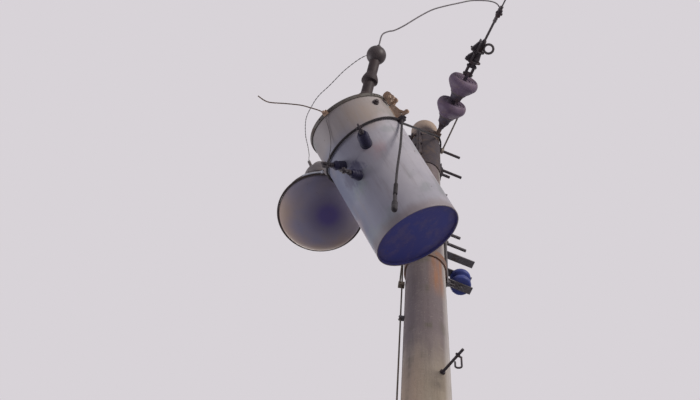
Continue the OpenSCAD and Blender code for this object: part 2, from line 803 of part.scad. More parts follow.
hinge_d = 18;
upper_up = 480;
module hanger_plates() {
  color("#9a948e") {
    hanger_plate(hinge_up, hinge_d + 1);
    hanger_plate(upper_up, hinge_d + 6);
  }
}

// Frame at the hinge bolt: x away from the tank, y along the bolt
module at_hinge() {
  translate(hinge_at)
    rotate([0, tank_lean, tank_bearing])
      rotate([0, 0, hinge_turn]) children();
}

cheek_t = 8;
module hinge_bolt() {
  half = plate_t / 2 + 1 + cheek_t;
  color("#3a2c26")
    at_hinge()
      rotate([90, 0, 0]) {
        translate([0, 0, -half - 16]) cylinder(h = 2 * half + 32, d = hinge_d);
        translate([0, 0, half + 1]) hexagon_nut(15, 12);
        translate([0, 0, -half - 13]) hexagon_nut(15, 12);
      }
}

// Bracket on the pole: a collar, and two cheeks that reach down to the hinge bolt
collar_h = 70;
collar_lift = 115;
collar_t = 8;
collar_ears = hinge_bearing + 215;
hinge_boss = 24;
hinge_x = cos(hinge_turn) * tank_x + sin(hinge_turn) * tank_y;
module pole_bracket() {
  z = at(hinge_drop) + collar_lift - collar_h / 2;
  half = plate_t / 2 + 1;
  away = polar(pole_r(z), hinge_bearing, z + collar_h / 2) - hinge_at;
  reach = [away * hinge_x, away * tank_z];
  color("#6b4a34")
    difference() {
      union() {
        translate([0, 0, z]) cylinder(h = collar_h, r = pole_r(z) + eps + collar_t);
        clasp(collar_ears, z, collar_h);
        clasp_bolt(collar_ears, z + collar_h / 2);
        for (side = [half + cheek_t, -half])
          at_hinge()
            translate([0, side, 0])
              rotate([90, 0, 0])
                linear_extrude(cheek_t)
                  union() {
                    circle(r = hinge_boss);
                    rotate(atan2(reach.y, reach.x))
                      translate([0, 3 - hinge_boss]) square([norm(reach) + 30, 2 * hinge_boss - 6]);
                  }
      }
      pole_core(z - 150, collar_h + 300);
      clasp_slit(collar_ears, z, collar_h);
      at_hinge() rotate([90, 0, 0]) cylinder(h = 120, d = hinge_d + 1, center = true);
    }
}

// Sling of wire rope round the tank and the pole
sling_fore = -0.075;
sling_side = 0.066;
leg_right = 105;
leg_left = -90;
sling_r = tank_r + rope_d / 2 + 3;
function sling_z(turn) = sling_up + sling_r * (sling_side * sin(turn) + sling_fore * cos(turn));
function sling_pt(turn) = tank_pt(polar(sling_r, turn, sling_z(turn)));
// The arc round the tank, drawn as a rope of the given thickness
module sling_arc(thick) {
  in_tank()
    translate([0, 0, sling_up])
      rotate([atan(sling_side), atan(-sling_fore), 0])
        rotate([0, 0, leg_left])
          rotate_extrude(angle = leg_right - leg_left, $fn = 96)
            translate([sling_r, 0]) circle(d = thick, $fn = 16);
}

module sling() {
  z = at(sling_drop);
  slack = 15;
  r = pole_r(z) + rope_d / 2 + eps + slack;
  facing = atan2(sling_pt(0).y, sling_pt(0).x);
  ends = [for (side = [90, -90]) polar(slack, facing, 0) + polar(r, facing + side, z)];
  color("#2b2524")
    union() {
      sling_arc(rope_d);
      bar(sling_pt(leg_right), ends[0], rope_d, 24);
      bar(sling_pt(leg_left), ends[1], rope_d, 24);
      translate(polar(slack, facing, z))
        rotate([0, 0, facing + 90])
          rotate_extrude(angle = 180)
            translate([r, 0]) circle(d = rope_d, $fn = 16);
      for (p = [sling_pt(leg_right), sling_pt(leg_left), ends[0], ends[1]])
        translate(p) sphere(d = rope_d + 4, $fn = 24);
    }
}

// Clip that joins the loose end to the sling
tail_turn = 96;
tail_gap = rope_d + 1;
clip_w = 26;
clip_h = 24;
module rope_clip() {
  color("#3a3230")
    difference() {
      in_tank()
        rotate([0, 0, tail_turn])
          translate([tank_r + 1, -clip_w / 2, sling_z(tail_turn) - clip_h / 2])
            cube([rope_d + tail_gap + 8, clip_w, clip_h]);
      sling_arc(rope_d + 2 * eps);
      translate(tail_top + [0, 0, -60]) cylinder(h = 60 + eps, d = rope_d + 2 * eps);
    }
}

// Loose end of the sling, which hangs down to its ferrule
tail_len = 940;
tail_top = tank_pt(polar(sling_r + tail_gap, tail_turn, sling_z(tail_turn)));
tail_pts = [tail_top, tail_top + [0, 0, -120], tail_top + [-2, 0, -350], tail_top + [-12, 0, -650],
  tail_top + [-16, 0, -tail_len]];
module rope_tail() {
  color("#2b2524") tube(smooth(tail_pts, 3), rope_d);
}

module tail_ferrule() {
  color("#1d191a")
    translate(tail_pts[4])
      rotate_extrude(convexity = 4)
        polygon([[0, 0], [9, 0], [9, -50], [12, -64], [13, -78], [13, -130], [10, -140], [0, -142]]);
}

// Street lamp

lamp_r = lamp_d / 2;
lamp_foot = polar(lamp_reach, lamp_bearing, at(lamp_drop));
lamp_lean = -144;
lamp_axis = [sin(lamp_tilt) * cos(lamp_lean), sin(lamp_tilt) * sin(lamp_lean), cos(lamp_tilt)];
lamp_x = [cos(lamp_tilt) * cos(lamp_lean), cos(lamp_tilt) * sin(lamp_lean), -sin(lamp_tilt)];
lamp_y = [-sin(lamp_lean), cos(lamp_lean), 0];
function lamp_pt(p) = lamp_foot + p.x * lamp_x + p.y * lamp_y + p.z * lamp_axis;
module in_lamp() {
  translate(lamp_foot) rotate([0, lamp_tilt, lamp_lean]) children();
}

skin = 3;
plate_up = 300;
socket_r = 33;
// Bell shaped reflector, from its rim up to the plate that the socket passes through
module lamp_reflector() {
  r = lamp_r;
  mouth = [[r - 2, 0], [r - 8, 35], [r - 20, 75], [r - 30, 100], [r - 58, 165], [r - 95, 250], [r - 120, plate_up]];
  color("#3a352f")
    in_lamp()
      rotate_extrude(convexity = 6, $fn = 96)
        polygon(concat(mouth, [[socket_r + eps, plate_up], [socket_r + eps, plate_up - skin]],
          [for (i = [len(mouth) - 1:-1:0]) mouth[i] - [skin, i == len(mouth) - 1 ? skin : 0]]));
}

// Glass bowl that closes the reflector's mouth
bowl_drop = 92;
bowl_skin = 4;
bowl_lip = 4;
module lamp_bowl() {
  r = lamp_r - 6;
  turns = [90:-9:0];
  color("#3d3a52")
    in_lamp()
      rotate_extrude(convexity = 6, $fn = 96)
        polygon(concat([[r, bowl_lip]], [for (a = turns) [r * sin(a), -bowl_drop * cos(a)]],
          [for (a = [0:9:90]) [(r - bowl_skin) * sin(a), (bowl_skin - bowl_drop) * cos(a)]],
          [[r - bowl_skin, bowl_lip]]));
}

// Rolled rim that holds the bowl, with the wire bail and its knob
rim_d = 8;
bail_d = 8;
bail_from = 32;
bail_span = 26;
knob_d = 17;
bail_r = lamp_r + 2 + (rim_d + bail_d) / 2 + 0.2;
module lamp_ring() {
  color("#d8dde2")
    in_lamp() {
      rotate_extrude(convexity = 4, $fn = 96) translate([lamp_r + 2, 3]) circle(d = rim_d, $fn = 24);
      rotate([0, 0, bail_from])
        rotate_extrude(angle = bail_span, convexity = 4, $fn = 96)
          translate([bail_r, 3]) circle(d = bail_d, $fn = 24);
      translate([(bail_r + 1) * cos(bail_from + bail_span), (bail_r + 1) * sin(bail_from + bail_span), 3])
        sphere(d = knob_d, $fn = 32);
    }
}

module lamp_outer(grow) {
  top = lamp_h + grow;
  r = lamp_r - 120 + grow;
  rotate_extrude(convexity = 4, $fn = 96)
    polygon([[0, plate_up + eps], [r + 6, plate_up + eps], [r + 6, plate_up + 18], [r, plate_up + 22],
      [r - 7, top - 140], [r - 12, top - 112], [r - 29, top - 70], [r - 41, top - 40], [r - 48, top - 12],
      [r - 58, top - 2], [0, top]]);
}

// Gear housing above the reflector, with the bulb's socket below it and the lead's gland at its shoulder
socket_len = 62;
bulb_cap_d = 41;
gland_d = 16;
gland_from = [46, -7, lamp_h - 45];
gland_to = [70, -2, lamp_h + 5];
module lamp_housing() {
  color("#2e2a26")
    in_lamp()
      difference() {
        union() {
          lamp_outer(0);
          translate([0, 0, plate_up - socket_len]) cylinder(h = socket_len + 2, r1 = socket_r - 6, r2 = socket_r);
          bar(gland_from, gland_to, gland_d);
        }
        translate([0, 0, plate_up - socket_len - 1]) cylinder(h = 48, d = bulb_cap_d);
      }
}

arm_drop = 1010;
// Bent pipe from the plate on the pole down into the side of the lamp's housing
module lamp_arm() {
  top = at(arm_drop);
  bend = 130;
  meet = lamp_h - 95;
  reach = lamp_reach + 5;
  color("#4b4643")
    difference() {
      rotate([0, 0, lamp_bearing])
        union() {
          translate([pole_r(top) + 15, 0, top]) rotate([0, 90, 0]) cylinder(h = reach - bend - pole_r(top) - 15, d = arm_d);
          translate([reach - bend, 0, top - bend])
            rotate([90, 0, 0])
              rotate_extrude(angle = 90) translate([bend, 0]) circle(d = arm_d);
          translate([reach, 0, at(lamp_drop) + meet]) cylinder(h = top - bend - at(lamp_drop) - meet, d = arm_d);
        }
      in_lamp() lamp_outer(eps);
    }
}

module arm_plate() {
  z = at(arm_drop);
  seat = pole_r(z - 60) + 2;
  color("#4b4643") {
    rotate([0, 0, lamp_bearing])
      difference() {
        translate([seat - 30, -45, z - 110]) cube([42, 90, 220]);
        translate([0, 0, z - 111]) cylinder(h = 222, r1 = pole_r(z - 111) + eps, r2 = pole_r(z + 111) + eps);
      }
    for (dz = [-80, 80])
      rotate([0, 0, lamp_bearing]) {
        back = pole_r(z + dz - 25) + eps;
        translate([seat + 12, 0, z + dz]) rotate([0, 90, 0]) hexagon_nut(bolt_d, 12);
        translate([-back - 5, -25, z + dz - 25]) cube([5, 50, 50]);
        translate([-back - 19, 0, z + dz]) rotate([0, 90, 0]) hexagon_nut(bolt_d, 14);
        translate([-back - 44, 0, z + dz]) rotate([0, 90, 0]) cylinder(h = 26, d = bolt_d);
      }
  }
}

// Thin lead that arches from the bushing to the gland on the lamp's housing
lead_d = 5;
lead_pts = [[-272, -957, 7630], [-314, -937, 7632], [-390, -880, 7634], [-468, -802, 7640], [-526, -745, 7655],
  [-565, -687, 7672], [-603, -602, 7720], [-615, -500, 7770], [-612, -415, 7825], [-614, -345, 7890],
  [-622, -300, 7942], [-624, -268, 7976]];
lead_from = hv_pt(hv_len) + (hv_cap_d / 2 - 6) * unit([-39, -3, -2]);
lead_to = lamp_pt(gland_to - 6 * unit(gland_to - gland_from));
module lamp_lead() {
  color("#a8a4a2") tube(smooth(strung(lead_pts, lead_from, lead_to), 2), lead_d);
}

// Stiff wire tail that sticks out from the lid's clip
stub_d = 6;
stub_pts = [[-471, -800, 7228], [-498, -806, 7245], [-546, -817, 7259], [-584, -824, 7268], [-655, -832, 7270],
  [-735, -841, 7269], [-782, -869, 7277]];
stub_from = tank_pt([tank_r + band_t + 8, -4, tank_h + 7]);
module stub_wire() {
  color("#7b6a5e")
    tube(smooth(strung(stub_pts, stub_from, stub_pts[6] + stub_from - stub_pts[0]), 2), stub_d);
}

// Secondary rack: a channel on the pole, two flat arms with a spool on a rod, and a longer bar above

rod_reach = pole_r(at(rack_drop)) + 91.5;
rod_thick = 16;
arm_end = rod_reach + 57;
arm_w = 38;
arm_t = 8;
channel_w = 44;
channel_t = 7;
rack_low = 110;
rack_tall = 830;
bar_up = 250;
bar_end = rod_reach + 81;
module rack() {
  mid = at(rack_drop);
  seat = pole_r(mid - rack_low) + collar_t + 1;
  color("#4a4448")
    rotate([0, 0, rack_bearing]) {
      translate([seat, -channel_w / 2, mid - rack_low]) cube([channel_t, channel_w, rack_tall]);
      for (dz = [-rack_pitch / 2, rack_pitch / 2])
        translate([seat + channel_t - 1, -arm_w / 2, mid + dz - arm_t / 2])
          cube([arm_end - seat - channel_t, arm_w, arm_t]);
      translate([rod_reach, 0, mid - rack_pitch / 2 - 24]) cylinder(h = rack_pitch + 48, d = rod_thick);
      translate([seat + channel_t - 1, -arm_w / 2, mid + bar_up]) cube([bar_end - seat - channel_t, arm_w, arm_t]);
      for (b = [[-rack_pitch / 2 - 15, 150], [390, 230], [520, 202]])
        translate([0, 0, mid + b[0]]) rotate([0, 90, 0]) {
          foot = pole_r(mid + b[0]) + eps;
          translate([0, 0, foot]) cylinder(h = b[1] - foot, d = bolt_d);
          translate([0, 0, seat + channel_t]) hexagon_nut(bolt_d, nut_t);
        }
    }
}

module rack_spool() {
  h = rack_pitch - arm_t - 2 * eps;
  r = spool_d / 2;
  neck = r - 22;
  bore = rod_thick / 2 + eps;
  color("#1f2650")
    rotate([0, 0, rack_bearing])
      translate([rod_reach, 0, at(rack_drop) - h / 2])
        rotate_extrude(convexity = 4)
          polygon([[bore, 0], [r - 8, 0], [r, 12], [r - 2, 30], [neck, h / 2 - 12], [neck, h / 2 + 12],
            [r - 2, h - 30], [r, h - 12], [r - 8, h], [bore, h]]);
}

// Bolt low on the pole with the open hook that hangs from it
hook_bearing = -52;
hook_drop = 3080;
hook_end = 242;
hook_at = 208;
hook_rod = 12;
hook_wire = 8;
hook_half = 13;
hook_low = -88;
hook_tip = -55;
module service_hook() {
  z = at(hook_drop);
  seat = pole_r(z) + 0.5;
  knee = [hook_half, 0, -20];
  color("#2c2422")
    union() {
      radial_bar(hook_bearing, z, seat, hook_end, hook_rod);
      rotate([0, 0, hook_bearing]) translate([seat, 0, z]) rotate([0, 90, 0]) hexagon_nut(12, 10);
      translate(polar(hook_at, hook_bearing, z)) {
        rotate([0, 90, hook_bearing])
          rotate_extrude() translate([hook_rod / 2 + 2, 0]) circle(d = hook_wire, $fn = 24);
        bar([5, 4, -6], knee, hook_wire, 24);
        translate(knee) sphere(d = hook_wire + 1, $fn = 24);
        bar(knee, [hook_half, 0, hook_low], hook_wire, 24);
        translate([0, 0, hook_low])
          rotate([90, 180, 0])
            rotate_extrude(angle = 180) translate([hook_half, 0]) circle(d = hook_wire, $fn = 24);
        bar([-hook_half, 0, hook_low], [-hook_half, 0, hook_tip], hook_wire, 24);
      }
    }
}

// Earth wire up the pole from the ground to just below the plate of the lamp's arm
earth_bearing = 190;
earth_gap = 16;
earth_top = at(1210);
bond_drop = 2170;
module earth_wire() {
  color("#6f6a64")
    bar(polar(pole_r(0) + earth_gap, earth_bearing, 0),
      polar(pole_r(earth_top) + earth_gap, earth_bearing, earth_top), earth_d, 24);
}

// Wire from the pad at the tank's foot to the earth wire, with its clamp
pad_turn = 232;
pad_up = 40;
module tank_bond() {
  pad = tank_pt(polar(tank_r + 12, pad_turn, pad_up));
  knot = polar(pole_r(at(bond_drop)) + earth_gap + earth_d + 3, earth_bearing, at(bond_drop));
  color("#6f6a64")
    difference() {
      union() {
        bar(pad, knot, earth_d);
        in_tank() rotate([0, 0, pad_turn]) translate([tank_r + 0.2, -14, pad_up - 14]) cube([16, 28, 28]);
        rotate([0, 0, earth_bearing])
          translate([pole_r(at(bond_drop)) + 4, -11, at(bond_drop) - 15])
            cube([earth_gap + earth_d + 6, 22, 30]);
      }
      translate(polar(pole_r(at(bond_drop)) + earth_gap, earth_bearing, at(bond_drop) - 30))
        cylinder(h = 60, d = earth_d + 3 * eps);
    }
}

module earth_clips() {
  color("#58534e")
    for (z = [400:1250:8000])
      rotate([0, 0, earth_bearing])
        translate([pole_r(z) + 0.3, 0, z])
          difference() {
            translate([0, -10, -8]) cube([earth_gap + earth_d / 2 + 3, 20, 16]);
            translate([earth_gap, 0, -20]) cylinder(h = 40, d = earth_d + 0.8);
          }
}

pole();
top_sleeve();
through_bolts();
line_band();
disc_insulators();
bell_fittings();
link_straps();
strain_clamp();
clamp_bolts();
line_tail();
line_sleeve();
jumper();
prop_rod();
tank_wall_shell();
tank_floor();
tank_lid();
lid_clamp_band();
band_fittings();
hv_turret();
hv_bushing();
hv_cap();
lv_bushings();
lifting_lugs();
relief_plug();
hanger_plates();
hinge_bolt();
pole_bracket();
sling();
rope_clip();
rope_tail();
tail_ferrule();
lamp_reflector();
lamp_ring();
lamp_housing();
lamp_bowl();
lamp_arm();
arm_plate();
lamp_lead();
stub_wire();
rack();
rack_spool();
service_hook();
earth_wire();
tank_bond();
earth_clips();
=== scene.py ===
import math

import bmesh
import bpy
from mathutils import Matrix, Vector


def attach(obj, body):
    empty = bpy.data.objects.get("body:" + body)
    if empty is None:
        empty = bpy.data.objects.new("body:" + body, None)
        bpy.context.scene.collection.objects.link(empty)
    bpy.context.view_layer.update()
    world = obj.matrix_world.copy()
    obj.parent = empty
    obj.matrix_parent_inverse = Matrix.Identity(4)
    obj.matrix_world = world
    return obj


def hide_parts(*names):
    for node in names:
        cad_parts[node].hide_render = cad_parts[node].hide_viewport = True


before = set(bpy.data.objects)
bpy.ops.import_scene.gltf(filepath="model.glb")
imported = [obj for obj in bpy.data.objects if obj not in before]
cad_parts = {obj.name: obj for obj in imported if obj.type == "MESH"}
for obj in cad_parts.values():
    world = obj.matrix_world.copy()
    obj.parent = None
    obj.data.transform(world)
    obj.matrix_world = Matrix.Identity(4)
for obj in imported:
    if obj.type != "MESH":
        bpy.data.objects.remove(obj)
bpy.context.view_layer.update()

# Places of the transformer, in metres, as the frame has them

POLE_TOP = 9.15
POLE_TOP_RADIUS = 0.0825
POLE_GROWTH = 0.00665
TANK_FOOT = Vector((-0.03198, -0.33896, 6.83501))
TANK_TURN = (0.0, math.radians(41.2), math.radians(-133.2))
TANK_RADIUS = 0.207
BUSHING_FOOT = Vector((-0.29631, -0.76431, 7.36953))
BUSHING_AXIS = Vector((0.191906, -0.574519, 0.795676))
LINE_ASIDE = 0.047
LINE_HEIGHT = 8.95
LINE_TURN = -64.3
FIRST_DISC = 0.272
DISC_PITCH = 0.163
LINK_START = 0.497
LINK_LENGTH = 0.078
LAMP_FOOT = Vector((-0.522404, -0.193243, 7.439))
LAMP_TURN = (0.0, math.radians(5.6), math.radians(-144))
LAMP_RADIUS = 0.215
LAMP_BEARING = -159.7
BOLT_BEARING = 24
EARTH_BEARING = 190
EARTH_GAP = 0.016
RACK_HEIGHT = 7.2
ROD_GAP = 0.0915


def shift(x, y, z):
    return Matrix.Translation((x, y, z))


def spin(degrees, axis="Z"):
    return Matrix.Rotation(math.radians(degrees), 4, axis)


def turned(angles):
    return Matrix.Rotation(angles[2], 4, "Z") @ Matrix.Rotation(angles[1], 4, "Y")


IN_TANK = Matrix.Translation(TANK_FOOT) @ turned(TANK_TURN)
IN_LAMP = Matrix.Translation(LAMP_FOOT) @ turned(LAMP_TURN)
IN_BUSHING = Matrix.Translation(BUSHING_FOOT) @ BUSHING_AXIS.to_track_quat("Z", "Y").to_matrix().to_4x4()
ON_LINE = spin(LINE_TURN) @ shift(0, LINE_ASIDE, LINE_HEIGHT) @ spin(90, "Y")


def pole_radius(height):
    return POLE_TOP_RADIUS + (POLE_TOP - height) * POLE_GROWTH


def polar(radius, degrees, up):
    angle = math.radians(degrees)
    return Vector((radius * math.cos(angle), radius * math.sin(angle), up))


def on_tank(radius, degrees, up):
    return IN_TANK @ polar(radius, degrees, up)


def along_line(at):
    return ON_LINE @ shift(0, 0, at)


def by_pole(degrees, height):
    return spin(degrees) @ shift(0, 0, height)


def seat(place, at, way):
    return place @ Vector(at), place.to_3x3() @ Vector(way)


def in_scene(name, data):
    made = bpy.data.objects.new(name, data)
    bpy.context.scene.collection.objects.link(made)
    return made


# Camera, from the street and looking steeply up

SENSOR_WIDTH = 36
LENS = 65.42
CAMERA_AT = (0, -2.7428, 1.5934)
CAMERA_RIGHT = Vector((0.998244, 0.029925, 0.051114))
CAMERA_UP = Vector((0.007578, -0.920415, 0.390870))


def street_camera():
    data = bpy.data.cameras.new("street_camera")
    data.sensor_width = SENSOR_WIDTH
    data.lens = LENS
    camera = in_scene("street_camera", data)
    back = CAMERA_RIGHT.cross(CAMERA_UP)
    camera.matrix_world = shift(*CAMERA_AT) @ Matrix((CAMERA_RIGHT, CAMERA_UP, back)).transposed().to_4x4()
    bpy.context.scene.camera = camera


# Routes: smooth paths through given points, and the meshes that carry them

def smooth_route(points, steps):
    points = [Vector(p) for p in points]
    last = len(points) - 1
    route = []
    for i in range(last):
        before = points[max(i - 1, 0)]
        here = points[i]
        ahead = points[i + 1]
        beyond = points[min(i + 2, last)]
        for k in range(steps):
            t = k / steps
            slope = (ahead - before) * t
            bend = (2 * before - 5 * here + 4 * ahead - beyond) * t ** 2
            close = (3 * here - before - 3 * ahead + beyond) * t ** 3
            route.append(0.5 * (2 * here + slope + bend + close))
    route.append(points[last])
    return route


def route_length(route):
    return sum((b - a).length for a, b in zip(route, route[1:]))


def strung(points, start, end):
    points = [Vector(p) for p in points]
    last = len(points) - 1
    first_shift = start - points[0]
    last_shift = end - points[last]
    return [p + first_shift * (1 - i / last) + last_shift * (i / last) for i, p in enumerate(points)]


def ring_route(place, radius, up, stop=355, step=5):
    return [place @ polar(radius, a, up) for a in range(0, stop + 1, step)]


def route_mesh(name, routes, closed=False):
    mesh = bpy.data.meshes.new(name)
    points = []
    edges = []
    for route in routes:
        start = len(points)
        points.extend(route)
        edges.extend((start + i, start + i + 1) for i in range(len(route) - 1))
        if closed:
            edges.append((start + len(route) - 1, start))
    mesh.from_pydata([tuple(p) for p in points], edges, [])
    return mesh


def new_piece(name, mesh):
    piece = in_scene(name, mesh)
    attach(piece, "root")
    return piece


# Nodes: one call makes a node, sets it and links it

def feed(target, value):
    if isinstance(value, bpy.types.Node):
        value = value.outputs[0]
    if isinstance(value, bpy.types.NodeSocket):
        value.id_data.links.new(value, target)
    else:
        target.default_value = value


def add_node(tree, kind, values=(), **settings):
    made = tree.nodes.new(kind)
    for name, value in settings.items():
        setattr(made, name, value)
    for name, value in dict(values).items():
        feed(made.inputs[name], value)
    return made


def reckon(operation, *values):
    tree = next(value.id_data for value in values if hasattr(value, "id_data"))
    return add_node(tree, "ShaderNodeMath", enumerate(values), operation=operation).outputs[0]


def times(first, second):
    return reckon("MULTIPLY", first, second)


# Geometry nodes: trees are built with named sizes and end as plain meshes

def new_tree(name, lengths, counts=()):
    tree = bpy.data.node_groups.new(name, "GeometryNodeTree")
    kinds = [("Geometry", "Geometry"), ("Finish", "Material")]
    kinds += [(label, "Float") for label in lengths] + [(label, "Int") for label in counts]
    for label, kind in kinds:
        tree.interface.new_socket(label, in_out="INPUT", socket_type="NodeSocket" + kind)
    tree.interface.new_socket("Geometry", in_out="OUTPUT", socket_type="NodeSocketGeometry")
    return tree, add_node(tree, "NodeGroupInput").outputs


def close_tree(tree, geometry, size, smooth=True):
    real = add_node(tree, "GeometryNodeRealizeInstances", {0: geometry})
    shade = add_node(tree, "GeometryNodeSetShadeSmooth", {0: real, "Shade Smooth": smooth})
    paint = add_node(tree, "GeometryNodeSetMaterial", {0: shade, "Material": size["Finish"]})
    add_node(tree, "NodeGroupOutput", {0: paint})
    return tree


def even_curve(tree, size, spacing):
    curve = add_node(tree, "GeometryNodeMeshToCurve", {0: size["Geometry"]})
    steps = {"Curve": curve, "Length": size[spacing]}
    return add_node(tree, "GeometryNodeResampleCurve", steps, mode="LENGTH")


def laid_strands_tree():
    lengths = ["Lay", "Lay radius", "Strand radius", "Spacing"]
    tree, size = new_tree("laid_strands", lengths, ["Strands", "Sides"])
    copies = add_node(tree, "GeometryNodeDuplicateElements", domain="SPLINE")
    feed(copies.inputs["Geometry"], even_curve(tree, size, "Spacing"))
    feed(copies.inputs["Amount"], size["Strands"])
    along = add_node(tree, "GeometryNodeSplineParameter")
    turns = reckon("DIVIDE", along.outputs["Length"], size["Lay"])
    share = reckon("DIVIDE", copies.outputs["Duplicate Index"], size["Strands"])
    twist = add_node(tree, "ShaderNodeVectorRotate", {
        "Vector": add_node(tree, "GeometryNodeInputNormal"),
        "Axis": add_node(tree, "GeometryNodeInputTangent"),
        "Angle": times(reckon("ADD", turns, share), math.tau)})
    aside = add_node(tree, "ShaderNodeVectorMath", operation="SCALE")
    feed(aside.inputs[0], twist)
    feed(aside.inputs["Scale"], size["Lay radius"])
    move = add_node(tree, "GeometryNodeSetPosition", {"Geometry": copies, "Offset": aside})
    section = add_node(tree, "GeometryNodeCurvePrimitiveCircle",
                       {"Resolution": size["Sides"], "Radius": size["Strand radius"]})
    swept = {"Curve": move, "Profile Curve": section, "Fill Caps": True}
    return close_tree(tree, add_node(tree, "GeometryNodeCurveToMesh", swept), size)


def weld_bead_tree():
    tree, size = new_tree("weld_bead", ["Pitch", "Bead radius", "Least", "Most"])
    drop = add_node(tree, "GeometryNodeMeshUVSphere",
                    {"Segments": 8, "Rings": 5, "Radius": size["Bead radius"]})
    uneven = add_node(tree, "FunctionNodeRandomValue", {"Seed": 7})
    least, most = [socket for socket in uneven.inputs if socket.enabled][:2]
    feed(least, size["Least"])
    feed(most, size["Most"])
    place = add_node(tree, "GeometryNodeInstanceOnPoints", {
        "Points": even_curve(tree, size, "Pitch"), "Instance": drop,
        "Scale": [socket for socket in uneven.outputs if socket.enabled][0]})
    return close_tree(tree, place, size)


CROWN_TOP = 0.82
CROWN_SHARE = 0.12


def hexagon_head_tree():
    tree, size = new_tree("hexagon_head", ["Across corners", "Height", "Washer radius", "Washer height"])
    tall = size["Height"]
    under = size["Washer height"]
    half = times(size["Across corners"], 0.5)
    head = add_node(tree, "GeometryNodeMeshCylinder", {"Vertices": 6, "Radius": half, "Depth": tall})
    crown = add_node(tree, "GeometryNodeMeshCone", {
        "Vertices": 6, "Radius Bottom": half, "Radius Top": times(half, CROWN_TOP),
        "Depth": times(tall, CROWN_SHARE)})
    washer = add_node(tree, "GeometryNodeMeshCylinder",
                      {"Vertices": 20, "Radius": size["Washer radius"], "Depth": under})
    lifts = ((head, reckon("MULTIPLY_ADD", tall, 0.5, under)), (crown, reckon("ADD", tall, under)),
             (washer, times(under, 0.5)))
    parts = add_node(tree, "GeometryNodeJoinGeometry")
    for part, lift in lifts:
        up = add_node(tree, "ShaderNodeCombineXYZ", {"Z": lift})
        feed(parts.inputs[0], add_node(tree, "GeometryNodeTransform", {0: part, "Translation": up}))
    way = add_node(tree, "GeometryNodeInputNamedAttribute", {"Name": "facing"}, data_type="FLOAT_VECTOR")
    upright = add_node(tree, "FunctionNodeAlignRotationToVector", {"Vector": way}, axis="Z")
    place = add_node(tree, "GeometryNodeInstanceOnPoints",
                     {"Points": size["Geometry"], "Instance": parts, "Rotation": upright})
    return close_tree(tree, place, size, smooth=False)


def baked(carrier):
    ready = carrier.evaluated_get(bpy.context.evaluated_depsgraph_get())
    mesh = bpy.data.meshes.new_from_object(ready)
    carrier.modifiers.clear()
    bpy.data.objects.remove(carrier)
    return mesh


def grown(name, base, tree, sizes):
    carrier = in_scene(name + "_base", base)
    grow = carrier.modifiers.new("grow", "NODES")
    grow.node_group = tree
    labels = {item.name: item.identifier for item in tree.interface.items_tree if item.in_out == "INPUT"}
    for label, value in sizes.items():
        grow[labels[label]] = value
    mesh = baked(carrier)
    mesh.name = name
    return new_piece(name, mesh)


WIRE_STEP = 0.7
COIL_STEPS = 14
THREAD_SHARE = 0.72


def laid(name, routes, closed, count, lay, lay_radius, thick, spacing, sides, finish):
    sizes = {"Strands": count, "Lay": lay, "Lay radius": lay_radius, "Strand radius": thick / 2,
             "Spacing": spacing, "Sides": sides, "Finish": finish}
    return grown(name, route_mesh(name, routes, closed), LAID_STRANDS, sizes)


def strands(name, routes, finish, slot, count, rope, lay, spacing, sides=8, closed=False):
    strand = rope / 2 / (1 + 1 / math.sin(math.pi / count)) if count > 2 else rope / 4
    if closed:
        length = route_length(routes[0] + [routes[0][0]])
        lay = length / round(length / lay)
    return laid(name, routes, closed, count, lay, rope / 2 - strand, strand * 2, spacing, sides, finish)


def wire(name, routes, finish, diameter, sides=8, closed=False, spacing=None):
    spacing = spacing or diameter * WIRE_STEP
    return laid(name, routes, closed, 1, 1.0, 0.0, diameter, spacing, sides, finish)


def threads(name, routes, finish, radius, pitch, thick=None, sides=4):
    thick = thick or pitch * THREAD_SHARE
    return laid(name, routes, False, 1, pitch, radius, thick, pitch / COIL_STEPS, sides, finish)


def welds(name, routes, finish, radius, pitch=None, least=0.8, most=1.15):
    sizes = {"Pitch": pitch or radius * 0.9, "Bead radius": radius, "Least": least, "Most": most,
             "Finish": finish}
    return grown(name, route_mesh(name, routes), WELD_BEAD, sizes)


def rivets(name, spots, finish, radius):
    stubs = [[spot, spot + Vector((0, 0, radius * 0.05))] for spot in spots]
    return welds(name, stubs, finish, radius, pitch=1.0, least=0.97, most=1.03)


def heads(name, seats, across, height, washer=1.25, washer_height=0.0015):
    mesh = bpy.data.meshes.new(name)
    mesh.from_pydata([tuple(at) for at, _ in seats], [], [])
    ways = mesh.attributes.new("facing", "FLOAT_VECTOR", "POINT")
    for i, (_, way) in enumerate(seats):
        ways.data[i].vector = way
    sizes = {"Across corners": across, "Height": height, "Washer radius": across / 2 * washer,
             "Washer height": washer_height, "Finish": DARK_STEEL}
    return grown(name, mesh, HEXAGON_HEAD, sizes)


# Finishes: small steps that every finish is made of

def tint(colour):
    scaled = [v / 255 for v in colour]
    return tuple(v / 12.92 if v <= 0.04045 else ((v + 0.055) / 1.055) ** 2.4 for v in scaled) + (1.0,)


def new_finish(name, roughness, metallic=0.0):
    finish = bpy.data.materials.new(name)
    finish.use_nodes = True
    shader = finish.node_tree.nodes["Principled BSDF"]
    feed(shader.inputs["Roughness"], roughness)
    feed(shader.inputs["Metallic"], metallic)
    return finish, shader


def where(shader, foot=(0, 0, 0), turn=(0, 0, 0), stretch=(1, 1, 1)):
    tree = shader.id_data
    place = add_node(tree, "ShaderNodeTexCoord").outputs["Object"]
    centred = add_node(tree, "ShaderNodeMapping", {"Location": foot, "Rotation": turn, "Vector": place},
                       vector_type="TEXTURE")
    return add_node(tree, "ShaderNodeMapping", {"Scale": stretch, "Vector": centred}).outputs[0]


def clouds(place, scale, detail=5.0, rough=0.55):
    noise = add_node(place.id_data, "ShaderNodeTexNoise",
                     {"Scale": scale, "Detail": detail, "Roughness": rough, "Vector": place})
    return noise.outputs["Fac"]


